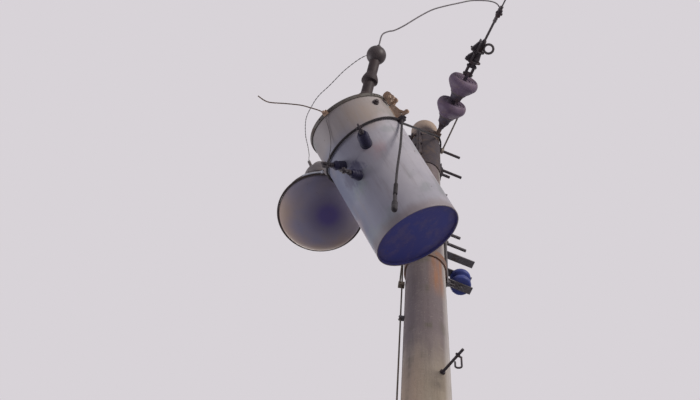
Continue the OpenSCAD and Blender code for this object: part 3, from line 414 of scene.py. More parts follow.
def between(value, low, high):
    step = add_node(value.id_data, "ShaderNodeMapRange", {"From Min": low, "From Max": high, "Value": value},
                    interpolation_type="SMOOTHSTEP")
    return step.outputs["Result"]


def part_of(place, axis):
    return add_node(place.id_data, "ShaderNodeSeparateXYZ", {0: place}).outputs[axis]


def layer(amount, under, over, share=1.0):
    if share < 1.0:
        amount = times(amount, share)
    mix = add_node(amount.id_data, "ShaderNodeMix", {"Factor": amount}, data_type="RGBA")
    for name, value in (("A", under), ("B", over)):
        target = [socket for socket in mix.inputs if socket.name == name and socket.type == "RGBA"][0]
        feed(target, tint(value) if isinstance(value, (tuple, list)) else value)
    return [socket for socket in mix.outputs if socket.type == "RGBA"][0]


def coloured(shader, colour, *layers):
    for amount, over, *share in layers:
        colour = layer(amount, colour, over, *share)
    feed(shader.inputs["Base Color"], colour)


def sheen_range(shader, value, low, high):
    step = add_node(shader.id_data, "ShaderNodeMapRange", {"To Min": low, "To Max": high, "Value": value})
    feed(shader.inputs["Roughness"], step)


def raised(shader, height, depth, strength=1.0):
    relief = {"Strength": strength, "Distance": depth, "Height": height}
    bump = add_node(shader.id_data, "ShaderNodeBump", relief)
    normal = shader.inputs["Normal"]
    if normal.is_linked:
        feed(bump.inputs["Normal"], normal.links[0].from_socket)
    feed(normal, bump)


def edge_wear(shader, width):
    tree = shader.id_data
    rounded = add_node(tree, "ShaderNodeBevel", {"Radius": width}, samples=4)
    flat = add_node(tree, "ShaderNodeNewGeometry").outputs["Normal"]
    compare = add_node(tree, "ShaderNodeVectorMath", {0: rounded, 1: flat}, operation="DOT_PRODUCT")
    feed(shader.inputs["Normal"], rounded)
    return between(reckon("SUBTRACT", 1.0, compare.outputs["Value"]), 0.02, 0.2)


def ragged_value(value, noise, reach):
    return reckon("ADD", value, times(reckon("SUBTRACT", noise, 0.5), reach))


def distance_to(place, centre):
    apart = add_node(place.id_data, "ShaderNodeVectorMath", {0: place, 1: centre}, operation="DISTANCE")
    return apart.outputs["Value"]


def from_axis(shader, foot, turn):
    flat = where(shader, foot, turn, (1, 1, 0))
    return add_node(shader.id_data, "ShaderNodeVectorMath", {0: flat}, operation="LENGTH").outputs["Value"]


# The finishes of this transformer, its pole and its lamp

def weathered_concrete():
    finish, shader = new_finish("weathered_concrete", 0.92)
    place = where(shader)
    runs = where(shader, stretch=(1, 1, 0.06))
    height = part_of(place, "Z")
    across = part_of(place, "X")
    broad = clouds(place, 3.0)
    fine = clouds(place, 60.0, 8.0, 0.7)
    drips = clouds(runs, 26.0, 6.0, 0.6)
    ragged = ragged_value(height, broad, 0.9)
    shaded = times(between(ragged, 5.95, 6.5), between(height, 8.8, 8.6))
    capped = between(ragged_value(height, broad, 0.1), 8.78, 8.86)
    low = between(ragged_value(height, drips, 0.5), 6.4, 5.85)
    mould = times(between(clouds(place, 7.0), 0.5, 0.68), between(drips, 0.4, 0.6))
    damp = between(ragged, 1.3, 0.4)
    rust_side = times(between(across, 0.0, 0.05), between(across, 0.13, 0.1))
    rust_band = times(between(height, 7.25, 7.1), between(height, 6.7, 6.95))
    rust = times(between(clouds(runs, 9.0), 0.4, 0.6), times(rust_side, rust_band))
    grains = add_node(place.id_data, "ShaderNodeTexVoronoi", {"Scale": 85.0, "Vector": place})
    holes = between(grains.outputs["Distance"], 0.16, 0.04)
    coloured(shader, (158, 147, 136),
             (between(broad, 0.35, 0.68), (136, 126, 116)),
             (between(drips, 0.48, 0.7), (112, 100, 92), 0.8),
             (shaded, (104, 92, 96), 0.8),
             (capped, (172, 150, 132), 0.8),
             (low, (144, 130, 106), 0.45),
             # painted light: the left side of the lower pole is made lighter
             (times(low, between(across, 0.02, -0.06)), (186, 160, 138), 0.55),
             # painted highlight: a pale strip down the pole's right edge, where the light falls
             (between(across, 0.07, 0.095), (204, 198, 192), 0.6),
             (mould, (92, 88, 70), 0.55),
             (damp, (98, 92, 80), 0.6),
             (rust, (156, 104, 66), 0.85),
             (between(fine, 0.55, 0.75), (186, 178, 164), 0.4),
             (holes, (66, 58, 54), 0.6))
    raised(shader, fine, 0.0025)
    raised(shader, holes, -0.002, 0.7)
    raised(shader, clouds(runs, 40.0), 0.003, 0.6)
    return finish


# Soft spots on the tank wall: centre, inner and outer reach, colour, depth. The dark blue-grey rows, second
# to fourth, are grime with painted shade, the third and fourth a painted shadow of the middle LV bushing; the
# other rows are stains.
WALL_MARKS_AND_SHADE = [
    ((0.2, -0.06, 0.29), 0.02, 0.09, (112, 124, 122), 0.6),
    ((0.16, -0.13, 0.35), 0.05, 0.14, (88, 94, 118), 0.9),
    ((0.196, -0.066, 0.35), 0.02, 0.065, (62, 62, 90), 0.95),
    ((0.207, -0.006, 0.37), 0.012, 0.05, (66, 64, 90), 0.95),
    ((0.175, 0.11, 0.4), 0.01, 0.06, (156, 132, 136), 0.6),
    ((0.1, -0.18, 0.16), 0.02, 0.08, (144, 126, 127), 0.5),
    ((0.16, 0.13, 0.6), 0.02, 0.14, (158, 140, 124), 0.5),
]


def tank_enamel():
    finish, shader = new_finish("tank_enamel", 0.5)
    place = where(shader, TANK_FOOT, TANK_TURN)
    runs = where(shader, TANK_FOOT, TANK_TURN, (1, 1, 0.12))
    height = part_of(place, "Z")
    across = part_of(place, "Y")
    broad = clouds(place, 5.0)
    fine = clouds(place, 90.0, 8.0, 0.7)
    drips = clouds(runs, 30.0, 6.0, 0.62)
    street = between(ragged_value(part_of(place, "X"), broad, 0.12), -0.04, 0.06)
    # painted shade: on the street-facing half the wall darkens and turns blue-grey towards -Y, deepest on the
    # far side
    painted_shade_side = times(between(ragged_value(across, broad, 0.12), 0.12, -0.1), street)
    far_painted_shade = times(between(across, -0.06, -0.18), street)
    top = between(ragged_value(height, broad, 0.08), 0.52, 0.6)
    algae = between(clouds(place, 8.0, 3.0), 0.54, 0.7)
    smears = clouds(place, 14.0, 6.0, 0.65)
    # wall spots: stains, and grime with painted shade by the middle LV bushing
    marks_and_shade = []
    for centre, inner, outer, shade, depth in WALL_MARKS_AND_SHADE:
        near = between(ragged_value(distance_to(place, centre), smears, 0.16), outer, inner)
        marks_and_shade.append((times(near, between(drips, 0.25, 0.5)), shade, depth))
    foot = between(ragged_value(height, drips, 0.06), 0.06, 0.01)
    chips = between(clouds(place, 45.0, 6.0, 0.75), 0.66, 0.7)
    coloured(shader, (168, 164, 170),
             (between(broad, 0.35, 0.7), (150, 147, 156)),
             # painted shade on the street-facing half
             (painted_shade_side, (98, 101, 121), 0.75),
             (far_painted_shade, (80, 85, 108), 0.75),
             (between(drips, 0.5, 0.72), (124, 116, 118), 0.5),
             (top, (152, 140, 128), 0.6),
             (algae, (116, 124, 122), 0.4),
             *marks_and_shade,
             (foot, (104, 84, 78), 0.5),
             (chips, (86, 62, 54)))
    sheen_range(shader, reckon("ADD", broad, chips), 0.4, 0.7)
    raised(shader, fine, 0.0006, 0.5)
    raised(shader, chips, -0.0005, 0.8)
    raised(shader, clouds(place, 9.0, 2.0), 0.004, 0.35)
    return finish


def navy_base_paint():
    finish, shader = new_finish("navy_base_paint", 0.5)
    place = where(shader, TANK_FOOT, TANK_TURN)
    broad = clouds(place, 6.0)
    fine = clouds(place, 120.0, 8.0, 0.7)
    faded = between(clouds(place, 14.0, 6.0, 0.65), 0.46, 0.66)
    grimy = times(between(from_axis(shader, TANK_FOOT, TANK_TURN), 0.15, 0.2), between(fine, 0.35, 0.6))
    scuffs = between(clouds(place, 55.0, 4.0, 0.8), 0.6, 0.68)
    rusty = between(clouds(place, 38.0, 6.0, 0.7), 0.66, 0.72)
    coloured(shader, (54, 60, 134),
             (between(broad, 0.35, 0.65), (66, 66, 132)),
             (faded, (90, 82, 122), 0.6),
             (grimy, (76, 66, 84), 0.5),
             (scuffs, (98, 104, 150), 0.5),
             (rusty, (94, 62, 52), 0.8))
    sheen_range(shader, broad, 0.6, 0.85)
    raised(shader, fine, 0.0008, 0.6)
    return finish


WORN_EDGE = 0.0012


def iron(name, clean, rusted, rust=0.4, roughness=0.8, metallic=0.0, grain=120.0):
    finish, shader = new_finish(name, roughness, metallic)
    place = where(shader)
    worn = edge_wear(shader, WORN_EDGE)
    broad = clouds(place, 22.0, 7.0, 0.65)
    fine = clouds(place, grain, 8.0, 0.7)
    scale = between(broad, 0.62 - rust * 0.3, 0.74 - rust * 0.2)
    flakes = between(clouds(place, grain * 0.5, 6.0, 0.8), 0.6, 0.7)
    coloured(shader, clean,
             (between(fine, 0.35, 0.7), [v * 0.72 for v in clean]),
             (scale, rusted, min(1.0, 0.5 + rust)),
             (flakes, [min(255, v * 1.35 + 14) for v in rusted], 0.4),
             (worn, [min(255, v * 1.3 + 24) for v in clean], 0.45))
    patchy = reckon("ADD", times(scale, 0.6), times(fine, 0.4))
    sheen_range(shader, patchy, roughness - 0.18, min(0.95, roughness + 0.25))
    raised(shader, fine, 0.0008, 0.6)
    raised(shader, scale, 0.0006, 0.6)
    return finish


def glaze(name, base, deep, dust, roughness, coat):
    finish, shader = new_finish(name, roughness)
    place = where(shader)
    film = times(between(clouds(place, 34.0, 6.0, 0.7), 0.48, 0.68), 0.55)
    coloured(shader, base, (between(clouds(place, 16.0), 0.35, 0.68), deep), (film, dust))
    sheen_range(shader, film, roughness, min(0.95, roughness + 0.4))
    raised(shader, clouds(place, 140.0, 7.0, 0.7), 0.0004, 0.4)
    feed(shader.inputs["Specular IOR Level"], 0.3)
    feed(shader.inputs["Coat Weight"], coat)
    feed(shader.inputs["Coat Roughness"], 0.35)
    return finish


def lamp_enamel():
    finish, shader = new_finish("lamp_enamel", 0.6)
    place = where(shader, LAMP_FOOT, LAMP_TURN)
    rings = where(shader, LAMP_FOOT, LAMP_TURN, (0.02, 0.02, 1))
    broad = clouds(place, 9.0)
    specks = between(clouds(place, 60.0, 6.0, 0.7), 0.6, 0.7)
    coloured(shader, (96, 88, 86), (between(broad, 0.35, 0.65), (76, 70, 74)), (specks, (92, 66, 50), 0.6))
    sheen_range(shader, broad, 0.45, 0.75)
    raised(shader, clouds(rings, 160.0, 3.0), 0.0008, 0.6)
    return finish


# Painted shade: the bowl darkens to violet around this spot, near its lowest point
BOWL_SHADE_SPOT = (-0.011, 0.046, -0.086)


def smoky_glass():
    finish, shader = new_finish("smoky_glass", 0.4)
    place = where(shader, LAMP_FOOT, LAMP_TURN)
    broad = clouds(place, 7.0)
    edge = between(ragged_value(from_axis(shader, LAMP_FOOT, LAMP_TURN), broad, 0.06), 0.1, 0.2)
    # lighter brown on the bowl's lower edge: dust with painted light
    lower = times(between(ragged_value(part_of(place, "Y"), broad, 0.1), 0.06, -0.08), edge)
    shade_spot = distance_to(place, BOWL_SHADE_SPOT)
    specks = between(clouds(place, 70.0, 5.0, 0.7), 0.62, 0.7)
    coloured(shader, (128, 124, 142),
             (between(broad, 0.35, 0.65), (134, 126, 134)),
             (lower, (164, 142, 124), 0.85),
             # painted shade around the bowl's lowest point
             (between(shade_spot, 0.15, 0.06), (106, 100, 124)),
             (between(shade_spot, 0.08, 0.03), (86, 76, 124)),
             (specks, (98, 82, 76), 0.4))
    sheen_range(shader, broad, 0.5, 0.7)
    raised(shader, clouds(place, 150.0, 8.0, 0.7), 0.0004, 0.5)
    feed(shader.inputs["Specular IOR Level"], 0.2)
    return finish


def bail_and_rim():
    finish, shader = new_finish("bail_and_rim", 0.7)
    fine = clouds(where(shader), 120.0, 6.0, 0.7)
    rim = layer(between(fine, 0.35, 0.65), (56, 48, 48), (78, 62, 54))
    # the bail is set near white: steel with a painted sky reflection
    bail = layer(between(fine, 0.4, 0.7), (216, 220, 226), (176, 178, 184))
    coloured(shader, rim, (between(from_axis(shader, LAMP_FOOT, LAMP_TURN), 0.2209, 0.2213), bail))
    sheen_range(shader, fine, 0.6, 0.85)
    raised(shader, fine, 0.0004, 0.5)
    return finish


def bare_aluminium(name, base, dull, metallic):
    finish, shader = new_finish(name, 0.45, metallic)
    place = where(shader)
    broad = clouds(place, 30.0, 6.0, 0.6)
    coloured(shader, base, (between(broad, 0.4, 0.66), dull))
    sheen_range(shader, broad, 0.35, 0.65)
    raised(shader, clouds(place, 220.0, 6.0, 0.7), 0.0003, 0.5)
    return finish


def pale_cement():
    finish, shader = new_finish("pale_cement", 0.92)
    fine = clouds(where(shader), 160.0, 8.0, 0.7)
    coloured(shader, (118, 110, 104), (between(fine, 0.35, 0.7), (88, 80, 76)))
    raised(shader, fine, 0.001, 0.8)
    return finish


def lead_insulation():
    finish, shader = new_finish("lead_insulation", 0.6)
    place = where(shader)
    broad = clouds(place, 26.0)
    coloured(shader, (150, 148, 146), (between(broad, 0.4, 0.66), (116, 110, 106)))
    sheen_range(shader, broad, 0.45, 0.7)
    raised(shader, clouds(place, 300.0, 4.0), 0.0002, 0.5)
    return finish


def dressed(finish, *names):
    for name in names:
        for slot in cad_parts[name].material_slots:
            slot.material = finish


# Cords: free wires and the sling's loose end, laid as strands

JUMPER_DIAMETER = 0.008
JUMPER_POINTS = [
    (-0.223, -0.983, 7.672), (-0.217, -1.000, 7.700), (-0.212, -1.012, 7.740), (-0.206, -1.013, 7.790),
    (-0.194, -1.008, 7.842), (-0.174, -1.002, 7.888), (-0.148, -0.994, 7.936), (-0.101, -0.989, 8.040),
    (-0.018, -0.993, 8.215), (0.050, -0.993, 8.345), (0.120, -0.982, 8.462), (0.190, -0.967, 8.576),
    (0.264, -0.952, 8.689), (0.324, -0.932, 8.774), (0.385, -0.906, 8.856), (0.425, -0.880, 8.905),
    (0.446, -0.850, 8.922), (0.446, -0.824, 8.926)]
JUMPER_START = 0.3835
JUMPER_SEAT = Vector((0.002, -0.011, -0.024))
LEAD_DIAMETER = 0.005
LEAD_POINTS = [
    (-0.272, -0.957, 7.630), (-0.314, -0.937, 7.632), (-0.390, -0.880, 7.634), (-0.468, -0.802, 7.640),
    (-0.526, -0.745, 7.655), (-0.565, -0.687, 7.672), (-0.603, -0.602, 7.720), (-0.615, -0.500, 7.770),
    (-0.612, -0.415, 7.825), (-0.614, -0.345, 7.890), (-0.622, -0.300, 7.942), (-0.624, -0.268, 7.976)]
LEAD_START = Vector((-0.0423, -0.0033, -0.0022))
GLAND_MOUTH = Vector((0.06741, -0.00254, 0.53961))
STUB_DIAMETER = 0.006
STUB_POINTS = [
    (-0.471, -0.800, 7.228), (-0.498, -0.806, 7.245), (-0.546, -0.817, 7.259), (-0.584, -0.824, 7.268),
    (-0.655, -0.832, 7.270), (-0.735, -0.841, 7.269), (-0.782, -0.869, 7.277)]
ROPE_DIAMETER = 0.012
ROPE_LAY = 0.08
TAIL_DROPS = [(0, 0, 0), (0, 0, -0.12), (-0.002, 0, -0.35), (-0.012, 0, -0.65), (-0.016, 0, -0.94)]
TAIL_TURN = 96
TAIL_OUT = 0.229
CAP_CENTRE = 0.33
TAP_AT = 0.925


def bare_cord(name, points, diameter, lay, finish, node,
              count=6):
    route = smooth_route(points, 8)
    slot = "wire_rope" if node == "rope_tail" else "conductor"
    piece = strands(name, [route], finish, slot, count, rope=diameter, lay=lay, spacing=diameter * 0.8)
    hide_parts(node)


def make_cords(steel):
    aluminium = bare_aluminium("jumper_aluminium", (104, 99, 101), (82, 77, 80), metallic=0.2)
    copper = iron("old_copper", (118, 96, 82), (92, 88, 80), roughness=0.6, metallic=0.4)
    ferrule = tail_fitting(steel)
    cap_top = BUSHING_FOOT + BUSHING_AXIS * JUMPER_START
    cap_side = BUSHING_FOOT + BUSHING_AXIS * CAP_CENTRE + LEAD_START
    jumper = strung(JUMPER_POINTS, cap_top, ON_LINE @ Vector((0, 0, TAP_AT)) + JUMPER_SEAT)
    lead = strung(LEAD_POINTS, cap_side, IN_LAMP @ GLAND_MOUTH)
    bare_cord("jumper_strands", jumper, JUMPER_DIAMETER, 0.09, aluminium, "jumper")
    bare_cord("lamp_lead_pair", lead, LEAD_DIAMETER, 0.045, lead_insulation(), "lamp_lead",
              count=2)
    bare_cord("stub_strands", STUB_POINTS, STUB_DIAMETER, 0.07, copper, "stub_wire")
    bare_cord("tail_strands", tail_points(), ROPE_DIAMETER, ROPE_LAY, steel, "rope_tail")


def tail_points():
    top = on_tank(TAIL_OUT, TAIL_TURN, sling_height(TAIL_TURN))
    return [top + Vector(drop) for drop in TAIL_DROPS]


# Stage: pale floor, plain soft studio light and a pale sky behind

FLOOR_REACH = 14
LIT_MIDDLE = Vector((-0.1, -0.4, 7.4))
SKY_LIGHT = (200, 200, 222)
SKY_STRENGTH = 0.36
SKY_SEEN = (216, 211, 216)


def stage():
    mesh = bpy.data.meshes.new("floor")
    corners = [(x * FLOOR_REACH, y * FLOOR_REACH, 0) for x, y in ((-1, -1), (1, -1), (1, 1), (-1, 1))]
    mesh.from_pydata(corners, [], [(0, 1, 2, 3)])
    floor = in_scene("floor", mesh)
    finish, shader = new_finish("floor_pale", 0.9)
    coloured(shader, (222, 220, 222), (clouds(where(shader), 0.6), (214, 212, 214)))
    mesh.materials.append(finish)


def soft_lamp(name, position, size, power, colour):
    data = bpy.data.lights.new(name, "AREA")
    data.shape = "DISK"
    data.size = size
    data.energy = power
    data.color = colour
    lamp = in_scene(name, data)
    lamp.location = position
    lamp.rotation_euler = (LIT_MIDDLE - Vector(position)).to_track_quat("-Z", "Y").to_euler()


def studio():
    scene = bpy.context.scene
    scene.view_settings.view_transform = "Standard"
    scene.world = bpy.data.worlds.new("pale_sky")
    scene.world.use_nodes = True
    tree = scene.world.node_tree
    light = tree.nodes["Background"]
    feed(light.inputs["Color"], tint(SKY_LIGHT))
    feed(light.inputs["Strength"], SKY_STRENGTH)
    seen = add_node(tree, "ShaderNodeBackground", {"Color": tint(SKY_SEEN), "Strength": 1.0})
    rays = add_node(tree, "ShaderNodeLightPath").outputs
    direct = reckon("MAXIMUM", rays["Is Camera Ray"], rays["Is Transmission Ray"])
    direct = reckon("MAXIMUM", direct, rays["Is Glossy Ray"])
    choose = add_node(tree, "ShaderNodeMixShader", {"Fac": direct, 1: light, 2: seen})
    feed(tree.nodes["World Output"].inputs["Surface"], choose)
    soft_lamp("key_right", (6.5, -6.0, 8.5), size=4.0, power=620, colour=(1.0, 0.95, 0.9))
    soft_lamp("fill_left", (-7.5, 1.0, 7.0), size=4.0, power=220, colour=(0.95, 0.94, 1.0))
    soft_lamp("back_top", (-2.0, 6.0, 12.0), size=5.0, power=320, colour=(1.0, 0.96, 0.92))


# Shapes: turned profiles and plates with eased edges

MERGE_REACH = 1e-6
SHARP_ANGLE = math.radians(50)


def finished_mesh(build, name, finish, smooth=True):
    mesh = bpy.data.meshes.new(name)
    bmesh.ops.remove_doubles(build, verts=build.verts, dist=MERGE_REACH)
    bmesh.ops.recalc_face_normals(build, faces=build.faces)
    build.to_mesh(mesh)
    build.free()
    if smooth:
        mesh.shade_smooth()
        mesh.set_sharp_from_angle(angle=SHARP_ANGLE)
    mesh.materials.append(finish)
    return new_piece(name, mesh)


def turn_profile(build, profile, place, steps):
    rings = []
    for radius, up in profile:
        if radius < MERGE_REACH:
            rings.append([build.verts.new(place @ Vector((0, 0, up)))])
        else:
            rings.append([build.verts.new(place @ polar(radius, 360 * k / steps, up)) for k in range(steps)])
    if profile[0][0] > MERGE_REACH:
        rings.append(rings[0])
    for lower, upper in zip(rings, rings[1:]):
        low = len(lower)
        high = len(upper)
        for k in range(steps):
            n = (k + 1) % steps
            corners = [lower[k % low], lower[n % low], upper[n % high], upper[k % high]]
            build.faces.new(list(dict.fromkeys(corners)))


def turned_shape(name, profile, places, finish, steps=48):
    build = bmesh.new()
    for place in places:
        turn_profile(build, profile, place, steps)
    return finished_mesh(build, name, finish)


def flat_plates(name, plates, thickness, finish, ease):
    outline = bpy.data.curves.new(name, "CURVE")
    outline.dimensions = "2D"
    outline.fill_mode = "BOTH"
    outline.extrude = thickness / 2 - ease
    outline.bevel_depth = ease
    outline.bevel_resolution = 1
    outline.offset = -ease
    build = bmesh.new()
    for place, loops in plates:
        outline.splines.clear()
        for loop in loops:
            spline = outline.splines.new("POLY")
            spline.points.add(len(loop) - 1)
            spline.use_cyclic_u = True
            for point, (x, y) in zip(spline.points, loop):
                point.co = (x, y, 0, 1)
        flat = baked(in_scene(name + "_outline", outline))
        flat.transform(place)
        build.from_mesh(flat)
        bpy.data.meshes.remove(flat)
    return finished_mesh(build, name, finish, smooth=False)


def round_hole(x, y, radius, sides=24):
    return [(x + radius * math.cos(math.tau * k / sides), y + radius * math.sin(math.tau * k / sides))
            for k in range(sides)]


def split_pin_route(place, reach, hole, wire_size):
    eye = wire_size * 1.5
    gap = wire_size * 0.5
    turns = [math.radians(d) for d in range(30, 331, 30)]
    spots = [(hole + reach, reach * 0.7), (hole + reach * 0.3, gap * 2), (hole, gap), (-hole, gap)]
    spots += [(-hole - eye + eye * math.cos(a), eye * math.sin(a)) for a in turns]
    spots += [(-hole, -gap), (hole, -gap), (hole + reach * 0.3, -gap * 2), (hole + reach * 0.9, -reach * 0.8)]
    return [place @ Vector((x, y, 0)) for x, y in spots]


# Sling of wire rope, and the fitting at its loose end

SLING_UP = 0.54
SLING_FORE = -0.075
SLING_SIDE = 0.066
SLING_RADIUS = TANK_RADIUS + 0.009
SLING_LEFT = -90
SLING_RIGHT = 105
SLING_LOOP = 8.888
LOOP_SLACK = 0.015
FERRULE_PROFILE = [
    (0.0, 0.0), (0.0085, 0.0), (0.009, -0.002), (0.009, -0.05), (0.0122, -0.064), (0.013, -0.074),
    (0.0115, -0.078), (0.0115, -0.084), (0.013, -0.088), (0.013, -0.094), (0.0115, -0.098), (0.0115, -0.104),
    (0.013, -0.108), (0.013, -0.13), (0.0115, -0.137), (0.008, -0.1415), (0.0, -0.142)]
SEIZING_FROM = 0.8
SEIZING_LENGTH = 0.095
SEIZING_END = 0.03
ROPE_GAP = 0.0003


def sling_height(degrees):
    angle = math.radians(degrees)
    return SLING_UP + SLING_RADIUS * (SLING_SIDE * math.sin(angle) + SLING_FORE * math.cos(angle))


def sling_spot(degrees):
    return on_tank(SLING_RADIUS, degrees, sling_height(degrees))


def make_sling(steel):
    around_tank = [sling_spot(a) for a in range(SLING_LEFT, SLING_RIGHT + 1, 3)]
    front = sling_spot(0)
    bearing = math.degrees(math.atan2(front.y, front.x))
    radius = pole_radius(SLING_LOOP) + ROPE_DIAMETER / 2 + ROPE_GAP + LOOP_SLACK
    middle = polar(LOOP_SLACK, bearing, SLING_LOOP)
    around_pole = [middle + polar(radius, bearing + 90 + a, 0) for a in range(0, 181, 6)]
    piece = strands("sling_strands", [around_tank + around_pole], steel, "wire_rope", count=6,
                    rope=ROPE_DIAMETER, lay=ROPE_LAY, spacing=0.007, sides=7, closed=True)
    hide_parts("sling")


def tail_fitting(steel):
    foot = shift(*tail_points()[-1])
    greasy = iron("greasy_steel", (38, 32, 38), (50, 40, 40), roughness=0.9)
    piece = turned_shape("pressed_ferrule", FERRULE_PROFILE, [foot], greasy)
    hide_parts("tail_ferrule")
    route = smooth_route(tail_points(), 8)
    top = route[0].z
    wrapped = [p for p in route if SEIZING_FROM < top - p.z < SEIZING_FROM + SEIZING_LENGTH]
    lower = wrapped[-1] + (wrapped[-1] - wrapped[0]).normalized() * SEIZING_END
    threads("tail_seizing", [[wrapped[0], lower]], steel, radius=0.0075, pitch=0.0042,
            thick=0.004, sides=6)
    return piece


# Line end: bare strands, the joint in the line and the clamp that holds the jumper

LINE_DIAMETER = 0.015
THIN_DIAMETER = 0.009
LINE_START = 0.638
JOINT_FROM = 0.862
JOINT_GRIP = 0.04
JOINT_END = 0.968
LINE_END = 1.07
CURL_AT = (0.0201, 0.04, 0.706)
CURL_RADIUS = 0.028
JOINT_PROFILE = [
    (0.0078, 0.0), (0.0095, 0.0), (0.011, 0.003), (0.011, 0.012), (0.0098, 0.014), (0.0098, 0.018),
    (0.011, 0.02), (0.011, 0.026), (0.0098, 0.028), (0.0098, 0.032), (0.011, 0.034), (0.011, 0.088),
    (0.0098, 0.09), (0.0098, 0.094), (0.011, 0.096), (0.011, 0.102), (0.008, 0.106), (0.0046, 0.106)]
CRIMP_PROFILE = [
    (0.0, 0.0), (0.0062, 0.0), (0.0075, 0.002), (0.0075, 0.006), (0.0066, 0.008), (0.0066, 0.012),
    (0.0075, 0.014), (0.0075, 0.019), (0.006, 0.022), (0.0, 0.022)]
CLAMP_HALF = (0.0425, 0.0125, 0.048)
CLAMP_SIDE = 0.0067
CLAMP_EASE = 0.003


def line_strands(name, finish, start, end, **sizes):
    straight = [ON_LINE @ Vector((0, 0, at)) for at in (start, end)]
    return strands(name, [straight], finish, "conductor", **sizes)


def make_line_end(finish):
    line = line_strands("line_strands", finish, LINE_START, JOINT_FROM + JOINT_GRIP, count=7,
                        rope=LINE_DIAMETER, lay=0.16, spacing=0.008)
    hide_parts("line_tail")
    curl = ON_LINE @ shift(*CURL_AT) @ spin(90, "Y")
    strands("line_curl", [ring_route(curl, CURL_RADIUS, 0)], finish, "conductor", count=7,
            rope=LINE_DIAMETER, lay=0.1, spacing=0.003, closed=True)
    joint = turned_shape("line_joint", JOINT_PROFILE, [along_line(JOINT_FROM)], finish)
    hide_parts("line_sleeve")
    line_strands("thin_line_strands", finish, JOINT_END - 0.004, LINE_END, count=6,
                 rope=THIN_DIAMETER, lay=0.1, spacing=0.006, sides=7)
    turned_shape("line_end_crimp", CRIMP_PROFILE, [along_line(LINE_END - 0.01)], finish)


def groove_clamp():
    tap = along_line(TAP_AT)
    build = bmesh.new()
    for side in (-CLAMP_SIDE, CLAMP_SIDE):
        half = tap @ shift(0.0085, side, 0) @ Matrix.Diagonal((*CLAMP_HALF, 1.0))
        made = bmesh.ops.create_cube(build, size=1.0, matrix=half)
        edges = list({edge for vert in made["verts"] for edge in vert.link_edges})
        bmesh.ops.bevel(build, geom=edges, offset=CLAMP_EASE, segments=2, affect="EDGES", profile=0.5)
    finished_mesh(build, "groove_clamp", DARK_STEEL, smooth=False)
    sides = [seat(tap, (0.0175, y, 0), (0, y, 0)) for y in (-0.013, 0.013)]
    heads("groove_clamp_bolt", sides, across=0.016, height=0.0055, washer=1.1)


# Fastenings: threads, heads, pins, rivets and welds, at true size

THROUGH_BOLTS = [(8.935, 0.126, 0.2365), (8.61, 0.1135, 0.2365), (8.54, 0.1135, 0.1595),
                 (RACK_HEIGHT - 0.071, 0.1265, 0.1495), (RACK_HEIGHT + 0.39, 0.1265, 0.2295),
                 (RACK_HEIGHT + 0.52, 0.1265, 0.2015)]
CLASPS = [(turn, up) for turn in (74, 254) for up in (8.4655, 8.63, 8.7945)] + [(115.7, 8.95), (107.3, 7.173)]
CLASP_OUT = 0.032
CLASP_THREAD = (-0.0182, -0.0278)
U_BOLTS = [(0.596, -0.039), (0.664, -0.0322)]
U_REACH = 0.032
U_END = -0.0536
LATCH_TURN = 97
LATCH_OUT = 0.2355
LATCH_UP = 0.686
LATCH_THREAD = (0.0352, 0.0418)
FLANGE_RADIUS = 0.043
FLANGE_TOP = 0.038
CLIP_SCREW_OUT = 0.0233
ROPE_NUT_OUT = 0.241
HOUSING_RADIUS = 0.1012
HOUSING_BAND = 0.309
CLEVIS_OUT = 0.142
CLEVIS_DROP = 0.024
LINK_INSET = 0.012
LINK_SIDE = 0.028
BAND_UP = 0.709
LUG_TURNS = [98, 268]
CLIP_HEIGHTS = [0.4 + 1.25 * k for k in range(7)]


def lv_place(turn, up, twist=0):
    return IN_TANK @ spin(turn) @ shift(TANK_RADIUS, 0, up) @ spin(90, "Y") @ spin(twist)


def bolt_threads():
    long_bolts = [[polar(r, BOLT_BEARING, height) for r in ends] for height, *ends in THROUGH_BOLTS]
    threads("through_bolt_threads", long_bolts, DARK_STEEL, radius=0.008, pitch=0.002)
    clasps = [[by_pole(degrees, height) @ Vector((pole_radius(height) + CLASP_OUT, side, 0))
               for side in CLASP_THREAD] for degrees, height in CLASPS]
    threads("clasp_bolt_threads", clasps, DARK_STEEL, radius=0.005, pitch=0.0015)
    legs = [[ON_LINE @ Vector((side, y, at)) for y in (start, U_END)]
            for at, start in U_BOLTS for side in (-U_REACH, U_REACH)]
    threads("u_bolt_threads", legs, DARK_STEEL, radius=0.005, pitch=0.0015)
    latch = IN_TANK @ spin(LATCH_TURN) @ shift(LATCH_OUT, 0, LATCH_UP)
    latch_ends = [[latch @ Vector((0, side * y, 0)) for y in LATCH_THREAD] for side in (-1, 1)]
    threads("latch_bolt_threads", latch_ends, RUSTY_STEEL, radius=0.007, pitch=0.0015)
    studs = [[lv_place(turn, up) @ Vector((0, 0, out)) for out in (length - 0.034, length - 0.002)]
             for turn, up, length, _, _, _ in LV_SHAPES]
    threads("terminal_stud_threads", studs, DARK_STEEL, radius=0.0075, pitch=0.002)


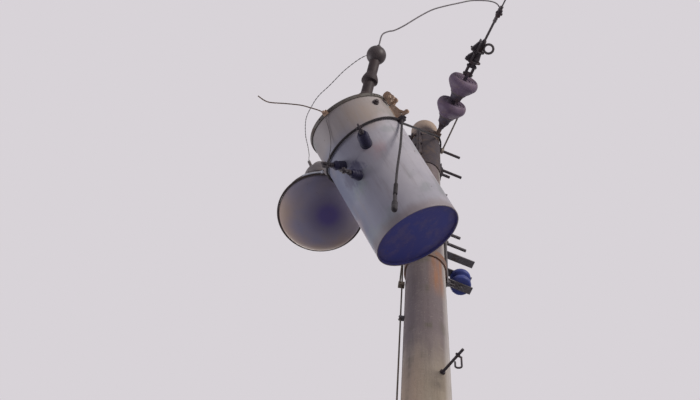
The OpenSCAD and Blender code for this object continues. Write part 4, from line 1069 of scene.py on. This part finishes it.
def bolt_heads():
    flange = [(IN_BUSHING @ polar(FLANGE_RADIUS, a, FLANGE_TOP), BUSHING_AXIS) for a in range(0, 360, 60)]
    heads("turret_bolts", flange, across=0.011, height=0.007, washer=1.2)
    spades = []
    for turn, up, length, _, twist, _ in LV_SHAPES:
        place = lv_place(turn, up, twist)
        spades += [seat(place, (0, y, length + 0.016), (0, y, 0)) for y in (-0.004, 0.004)]
    heads("terminal_bolts", spades, across=0.015, height=0.008, washer=1.3)
    screws = []
    for height in CLIP_HEIGHTS:
        place = by_pole(EARTH_BEARING, height)
        out = pole_radius(height) + CLIP_SCREW_OUT
        screws += [seat(place, (out, side, 0), (1, 0, 0)) for side in (-0.0072, 0.0072)]
    heads("earth_clip_screws", screws, across=0.0045, height=0.002, washer=1.1,
          washer_height=0.0005)
    grip = IN_TANK @ spin(TAIL_TURN)
    height = sling_height(TAIL_TURN)
    nuts = [seat(grip, (ROPE_NUT_OUT, side, height), (1, 0, 0)) for side in (-0.007, 0.007)]
    heads("rope_clip_nuts", nuts, across=0.011, height=0.006, washer=1.15)
    screws = [seat(IN_LAMP, polar(HOUSING_RADIUS, a, HOUSING_BAND), polar(1, a, 0))
              for a in range(20, 380, 60)]
    heads("housing_screws", screws, across=0.009, height=0.004)


def split_pins():
    clevis = spin(LINE_TURN) @ shift(CLEVIS_OUT, LINE_ASIDE, LINE_HEIGHT) @ shift(0, 0, -CLEVIS_DROP)
    routes = [split_pin_route(clevis, reach=0.012, hole=0.007, wire_size=0.003)]
    for at in (LINK_START + LINK_INSET, LINK_START + LINK_LENGTH - LINK_INSET):
        for side in (-LINK_SIDE, LINK_SIDE):
            pin = ON_LINE @ shift(0, side, at) @ spin(90, "X")
            routes.append(split_pin_route(pin, reach=0.01, hole=0.006, wire_size=0.003))
    rod = by_pole(BOLT_BEARING, RACK_HEIGHT - 0.072) @ shift(pole_radius(RACK_HEIGHT) + ROD_GAP, 0, 0)
    routes.append(split_pin_route(rod, reach=0.012, hole=0.008, wire_size=0.0035))
    wire("split_pins", routes, GALVANISED, diameter=0.003, sides=6)


def band_rivets():
    spots = [on_tank(TANK_RADIUS + 0.0055, a, BAND_UP) for a in (68, 73, 78, 83, 111, 116, 121, 126, -12, 10)]
    rivets("band_rivets", spots, DARK_STEEL, radius=0.004)
    rim = [IN_LAMP @ polar(LAMP_RADIUS - 0.0045, a, 0.013) for a in range(8, 368, 30)]
    rivets("rim_rivets", rim, LAMP_PAINT, radius=0.0032)


def uprights(degrees, side, low, high):
    edge = math.degrees(side / TANK_RADIUS)
    turns = (degrees - edge, degrees + edge) if side else (degrees,)
    return [[on_tank(TANK_RADIUS, turn, low), on_tank(TANK_RADIUS, turn, high)] for turn in turns]


def weld_seams(enamel, navy):
    foot = ring_route(IN_TANK, TANK_RADIUS - 0.005, 0.0035, stop=360)
    welds("foot_weld", [foot], navy, radius=0.0026)
    seams = uprights(180, 0, 0.02, 0.69)
    for up in (0.1, 0.48):
        seams += uprights(210, 0.0055, up - 0.06, up + 0.06)
    seams += uprights(232, 0.0145, 0.026, 0.054)
    welds("tank_welds", seams, enamel, radius=0.003)
    lugs = uprights(LUG_TURNS[0], 0.0065, 0.573, 0.66) + uprights(LUG_TURNS[1], 0.0065, 0.596, 0.66)
    welds("lug_welds", lugs, RUSTY_STEEL, radius=0.003)


COLLAR_PROFILE = [(0.0212, 7.93), (0.031, 7.93), (0.031, 7.988), (0.028, 7.994), (0.0212, 7.994)]
COLLAR_OUT = 0.562


def lamp_beads():
    for name, radius, up in (("reflector_bead_low", 0.196, 0.072), ("reflector_bead_high", 0.1575, 0.163)):
        wire(name, [ring_route(IN_LAMP, radius, up)], LAMP_PAINT, diameter=0.006, closed=True)
    foot = shift(*polar(COLLAR_OUT, LAMP_BEARING, 0))
    turned_shape("arm_collar", COLLAR_PROFILE, [foot], LAMP_PAINT, steps=32)


WALL_WIRE = [(-0.5, 0.012, 0.706), (-3.9, 0.005, 0.679), (-8.8, 0.004, 0.618), (-13.5, 0.008, 0.572),
             (-17, 0.024, 0.53), (-19, 0.05, 0.487), (-18.6, 0.07, 0.452), (-18, 0.08, 0.436)]


def wall_wire(finish):
    route = smooth_route([on_tank(TANK_RADIUS + out, a, up) for a, out, up in WALL_WIRE], 6)
    wire("terminal_wire", [route], finish, diameter=0.003, sides=6)


# Porcelain, glass and the pieces on the tank's wall

DISC_PROFILE = [
    (0.016, -0.056), (0.048, -0.056), (0.051, -0.052), (0.0653, -0.037), (0.0791, -0.019), (0.0888, -0.004),
    (0.092, 0.009), (0.0906, 0.024), (0.0856, 0.035), (0.0782, 0.0435), (0.073, 0.043), (0.068, 0.037),
    (0.0635, 0.0335), (0.0605, 0.0385), (0.0555, 0.0385), (0.0525, 0.0325), (0.046, 0.032), (0.0425, 0.037),
    (0.0375, 0.037), (0.0345, 0.0305), (0.027, 0.028), (0.0215, 0.026), (0.02, 0.019), (0.016, 0.018)]
PIN_CEMENT = [(0.0112, 0.0182), (0.0158, 0.0182), (0.0152, 0.0215), (0.0125, 0.024), (0.0112, 0.0242)]
CAP_CEMENT = [(0.0445, -0.0625), (0.0485, -0.0605), (0.0485, -0.0565), (0.0455, -0.0555)]
DISC_PLACES = [along_line(FIRST_DISC + k * DISC_PITCH) for k in (0, 1)]


def disc_porcelain(finish):
    smooth = [(at.x, at.z) for at in smooth_route([(radius, 0, up) for radius, up in DISC_PROFILE], 3)]
    piece = turned_shape("disc_porcelain", smooth, DISC_PLACES, finish, steps=72)
    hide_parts("disc_insulators")


def cement_rings():
    cement = pale_cement()
    turned_shape("pin_cement", PIN_CEMENT, DISC_PLACES, cement, steps=32)
    turned_shape("cap_cement", CAP_CEMENT, DISC_PLACES, cement)


BOWL_RADIUS = 0.209
BOWL_DROP = 0.092
BOWL_SKIN = 0.004


def half_oval(radius, drop):
    turns = [math.radians(turn) for turn in range(0, 91, 3)]
    return [(radius * math.sin(turn), -drop * math.cos(turn)) for turn in turns]


def glass_bowl(finish):
    outside = half_oval(BOWL_RADIUS, BOWL_DROP)
    inside = half_oval(BOWL_RADIUS - BOWL_SKIN, BOWL_DROP - BOWL_SKIN)
    lip = [(BOWL_RADIUS, BOWL_SKIN), (BOWL_RADIUS - BOWL_SKIN, BOWL_SKIN)]
    skin = outside + lip + inside[::-1]
    piece = turned_shape("glass_bowl", skin, [IN_LAMP], finish, steps=96)
    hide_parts("lamp_bowl")


SPOOL_HEIGHT = 0.1034
SPOOL_SIDE = [(0.0083, 0.0), (0.043, 0.0), (0.0485, 0.0035), (0.0515, 0.009), (0.052, 0.013), (0.0515, 0.026),
              (0.0495, 0.0305), (0.045, 0.0335), (0.037, 0.0365), (0.032, 0.041), (0.03, 0.047)]


def spool_porcelain(finish):
    profile = SPOOL_SIDE + [(radius, SPOOL_HEIGHT - up) for radius, up in reversed(SPOOL_SIDE)]
    foot = shift(*polar(pole_radius(RACK_HEIGHT) + ROD_GAP, BOLT_BEARING, RACK_HEIGHT - SPOOL_HEIGHT / 2))
    piece = turned_shape("spool_porcelain", profile, [foot], finish, steps=64)
    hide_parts("rack_spool")


LV_TIP = 0.035
LV_SHAPES = [(-18, 0.427, 0.096, 0.024, 0, 2), (-5, 0.322, 0.096, 0.024, 60, 2),
             (24, 0.438, 0.126, 0.029, 0, 3)]
RIB_PITCH = 0.022
RIB = [(0.0075, 0.0), (0.0028, 0.003), (0.001, 0.0055), (0.0012, 0.009), (0.0035, 0.0125), (0.007, 0.0155)]
SPADE_EDGE = [(-0.017, 0), (0.017, 0), (0.017, 0.024), (0.0125, 0.031), (-0.0125, 0.031), (-0.017, 0.024)]
STUD_RADIUS = 0.0075


def lv_profile(radius, length, ribs):
    tip = length - LV_TIP
    profile = [(0.0, 0.0), (radius, 0.0), (radius, 0.007), (radius - 0.002, 0.009), (radius - 0.006, 0.013)]
    for k in range(ribs):
        profile += [(radius - depth, 0.015 + RIB_PITCH * k + up) for depth, up in RIB]
    return profile + [(radius - 0.008, tip - 0.003), (radius - 0.0095, tip), (0.0, tip)]


def lv_terminals(porcelain):
    build = bmesh.new()
    studs = bmesh.new()
    nuts = []
    spades = []
    for turn, up, length, radius, twist, ribs in LV_SHAPES:
        place = lv_place(turn, up, twist)
        tip = length - LV_TIP
        stud = [(0.0, tip - 0.002), (STUD_RADIUS, tip - 0.002), (STUD_RADIUS, length), (0.0, length)]
        turn_profile(build, lv_profile(radius, length, ribs), place, 48)
        turn_profile(studs, stud, place, 20)
        nuts.append(seat(place, (0, 0, tip + 0.0105), (0, 0, 1)))
        upright = place @ shift(0, 0, length) @ spin(90, "X")
        spades.append((upright, [SPADE_EDGE, round_hole(0, 0.016, 0.0065)]))
    piece = finished_mesh(build, "lv_porcelain", porcelain)
    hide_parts("lv_bushings")
    finished_mesh(studs, "lv_studs", DARK_STEEL)
    heads("lv_nuts", nuts, across=0.025, height=0.0095, washer=1.02)
    flat_plates("lv_spades", spades, 0.008, DARK_STEEL, 0.001)


LUG_BASE = 0.572
LUG_THICKNESS = 0.012
LUG_HOLE = 0.007
LUG_GAP = 0.0002
RIGHT_LUG = [(0, 0), (0.036, 0), (0.062, -0.005), (0.069, 0.002), (0.068, 0.012), (0.06, 0.018),
             (0.05, 0.017), (0.037, 0.037), (0.027, 0.076), (0.024, 0.088), (0, 0.088)]
LEFT_LUG = [(0, 0.024), (0.018, 0.02), (0.034, 0.028), (0.037, 0.04), (0.031, 0.052), (0.025, 0.078),
            (0.02, 0.088), (0, 0.088)]


def lug(name, turn, edge, hole, finish):
    place = IN_TANK @ spin(turn) @ shift(TANK_RADIUS + LUG_GAP, 0, LUG_BASE) @ spin(90, "X")
    plates = [(place, [edge, round_hole(*hole, LUG_HOLE)])]
    return flat_plates(name, plates, LUG_THICKNESS, finish, 0.002)


def lifting_lugs(enamel):
    right = lug("right_lug", LUG_TURNS[0], RIGHT_LUG, (0.033, 0.017), RUSTY_STEEL)
    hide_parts("lifting_lugs")
    lug("left_lug", LUG_TURNS[1], LEFT_LUG, (0.02, 0.038), enamel)


# Long runs on the pole

EARTH_TOP = 7.94
SEAM_BEARINGS = (-28, 152)
SEAM_ENDS = (0.002, 9.14)
SEAM_SUNK = 0.0004


def earth_strands(finish):
    foot = polar(pole_radius(0) + EARTH_GAP, EARTH_BEARING, 0.001)
    top = polar(pole_radius(EARTH_TOP) + EARTH_GAP, EARTH_BEARING, EARTH_TOP)
    piece = strands("earth_strands", [[foot, top]], finish, "conductor", count=7, rope=0.008, lay=0.12,
                    spacing=0.014, sides=6)
    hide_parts("earth_wire")


def mould_seams(finish):
    routes = [[polar(pole_radius(up) - SEAM_SUNK, bearing, up) for up in SEAM_ENDS]
              for bearing in SEAM_BEARINGS]
    wire("mould_seams", routes, finish, diameter=0.004, sides=6, spacing=0.05)


LAID_STRANDS = laid_strands_tree()
WELD_BEAD = weld_bead_tree()
HEXAGON_HEAD = hexagon_head_tree()
DARK_STEEL = iron("dark_line_steel", (56, 48, 54), (70, 55, 54))
RUSTY_STEEL = iron("rusty_steel", (196, 170, 148), (166, 136, 112), rust=0.6, roughness=0.88)
GALVANISED = iron("aged_zinc", (104, 100, 102), (84, 72, 64), rust=0.25, roughness=0.6, metallic=0.4)
LAMP_PAINT = lamp_enamel()

street_camera()
rope_steel = iron("wire_rope_steel", (36, 30, 35), (44, 36, 37), roughness=0.85)
make_cords(rope_steel)
make_sling(rope_steel)

line_metal = bare_aluminium("line_aluminium", (92, 85, 86), (70, 64, 66), metallic=0.3)
concrete = weathered_concrete()
enamel = tank_enamel()
navy = navy_base_paint()
earth_copper = iron("earth_copper", (112, 98, 86), (88, 92, 80), roughness=0.6, metallic=0.4)
make_line_end(line_metal)
groove_clamp()
bolt_threads()
bolt_heads()
split_pins()
band_rivets()
weld_seams(enamel, navy)
lamp_beads()
wall_wire(line_metal)
cement_rings()
earth_strands(earth_copper)
mould_seams(concrete)

dressed(concrete, "pole")
dressed(enamel, "tank_wall_shell", "tank_lid", "hanger_plates")
dressed(navy, "tank_floor")
dressed(iron("sleeve_steel", (56, 46, 52), (76, 64, 60), rust=0.55, roughness=0.85, grain=60.0), "top_sleeve")
dressed(iron("dusty_band", (136, 118, 108), (118, 98, 88)), "line_band")
dressed(iron("grey_rod", (150, 140, 130), (120, 102, 90)), "prop_rod")
dressed(iron("cap_iron", (80, 72, 86), (88, 72, 72), rust=0.5, roughness=0.85), "bell_fittings")
dressed(DARK_STEEL, "through_bolts", "link_straps", "strain_clamp", "clamp_bolts", "hinge_bolt", "rope_clip",
        "service_hook", "hv_turret")
dressed(iron("band_iron", (96, 90, 84), (82, 70, 62)), "lid_clamp_band")
dressed(RUSTY_STEEL, "band_fittings")
dressed(iron("bracket_steel", (116, 96, 86), (132, 92, 68), rust=0.6), "pole_bracket")
dressed(GALVANISED, "rack", "lamp_arm", "arm_plate", "earth_clips")
disc_porcelain(glaze("violet_brown_glaze", (110, 94, 112), (96, 80, 98), (124, 108, 104),
                     roughness=0.6, coat=0.06))
dressed(glaze("brown_glaze", (64, 52, 52), (50, 41, 43), (76, 67, 66), roughness=0.65, coat=0.04),
        "hv_bushing")
lv_terminals(glaze("navy_black_glaze", (34, 31, 58), (26, 24, 44), (48, 44, 62), roughness=0.6, coat=0.03))
lifting_lugs(enamel)
dressed(glaze("black_cap", (70, 60, 60), (54, 47, 49), (86, 78, 76), roughness=0.55, coat=0.15),
        "hv_cap", "relief_plug")
spool_porcelain(glaze("blue_glaze", (50, 62, 128), (40, 48, 104), (72, 80, 120), roughness=0.5, coat=0.1))
dressed(earth_copper, "tank_bond")
dressed(LAMP_PAINT, "lamp_reflector", "lamp_housing")
dressed(bail_and_rim(), "lamp_ring")
glass_bowl(smoky_glass())

stage()
studio()
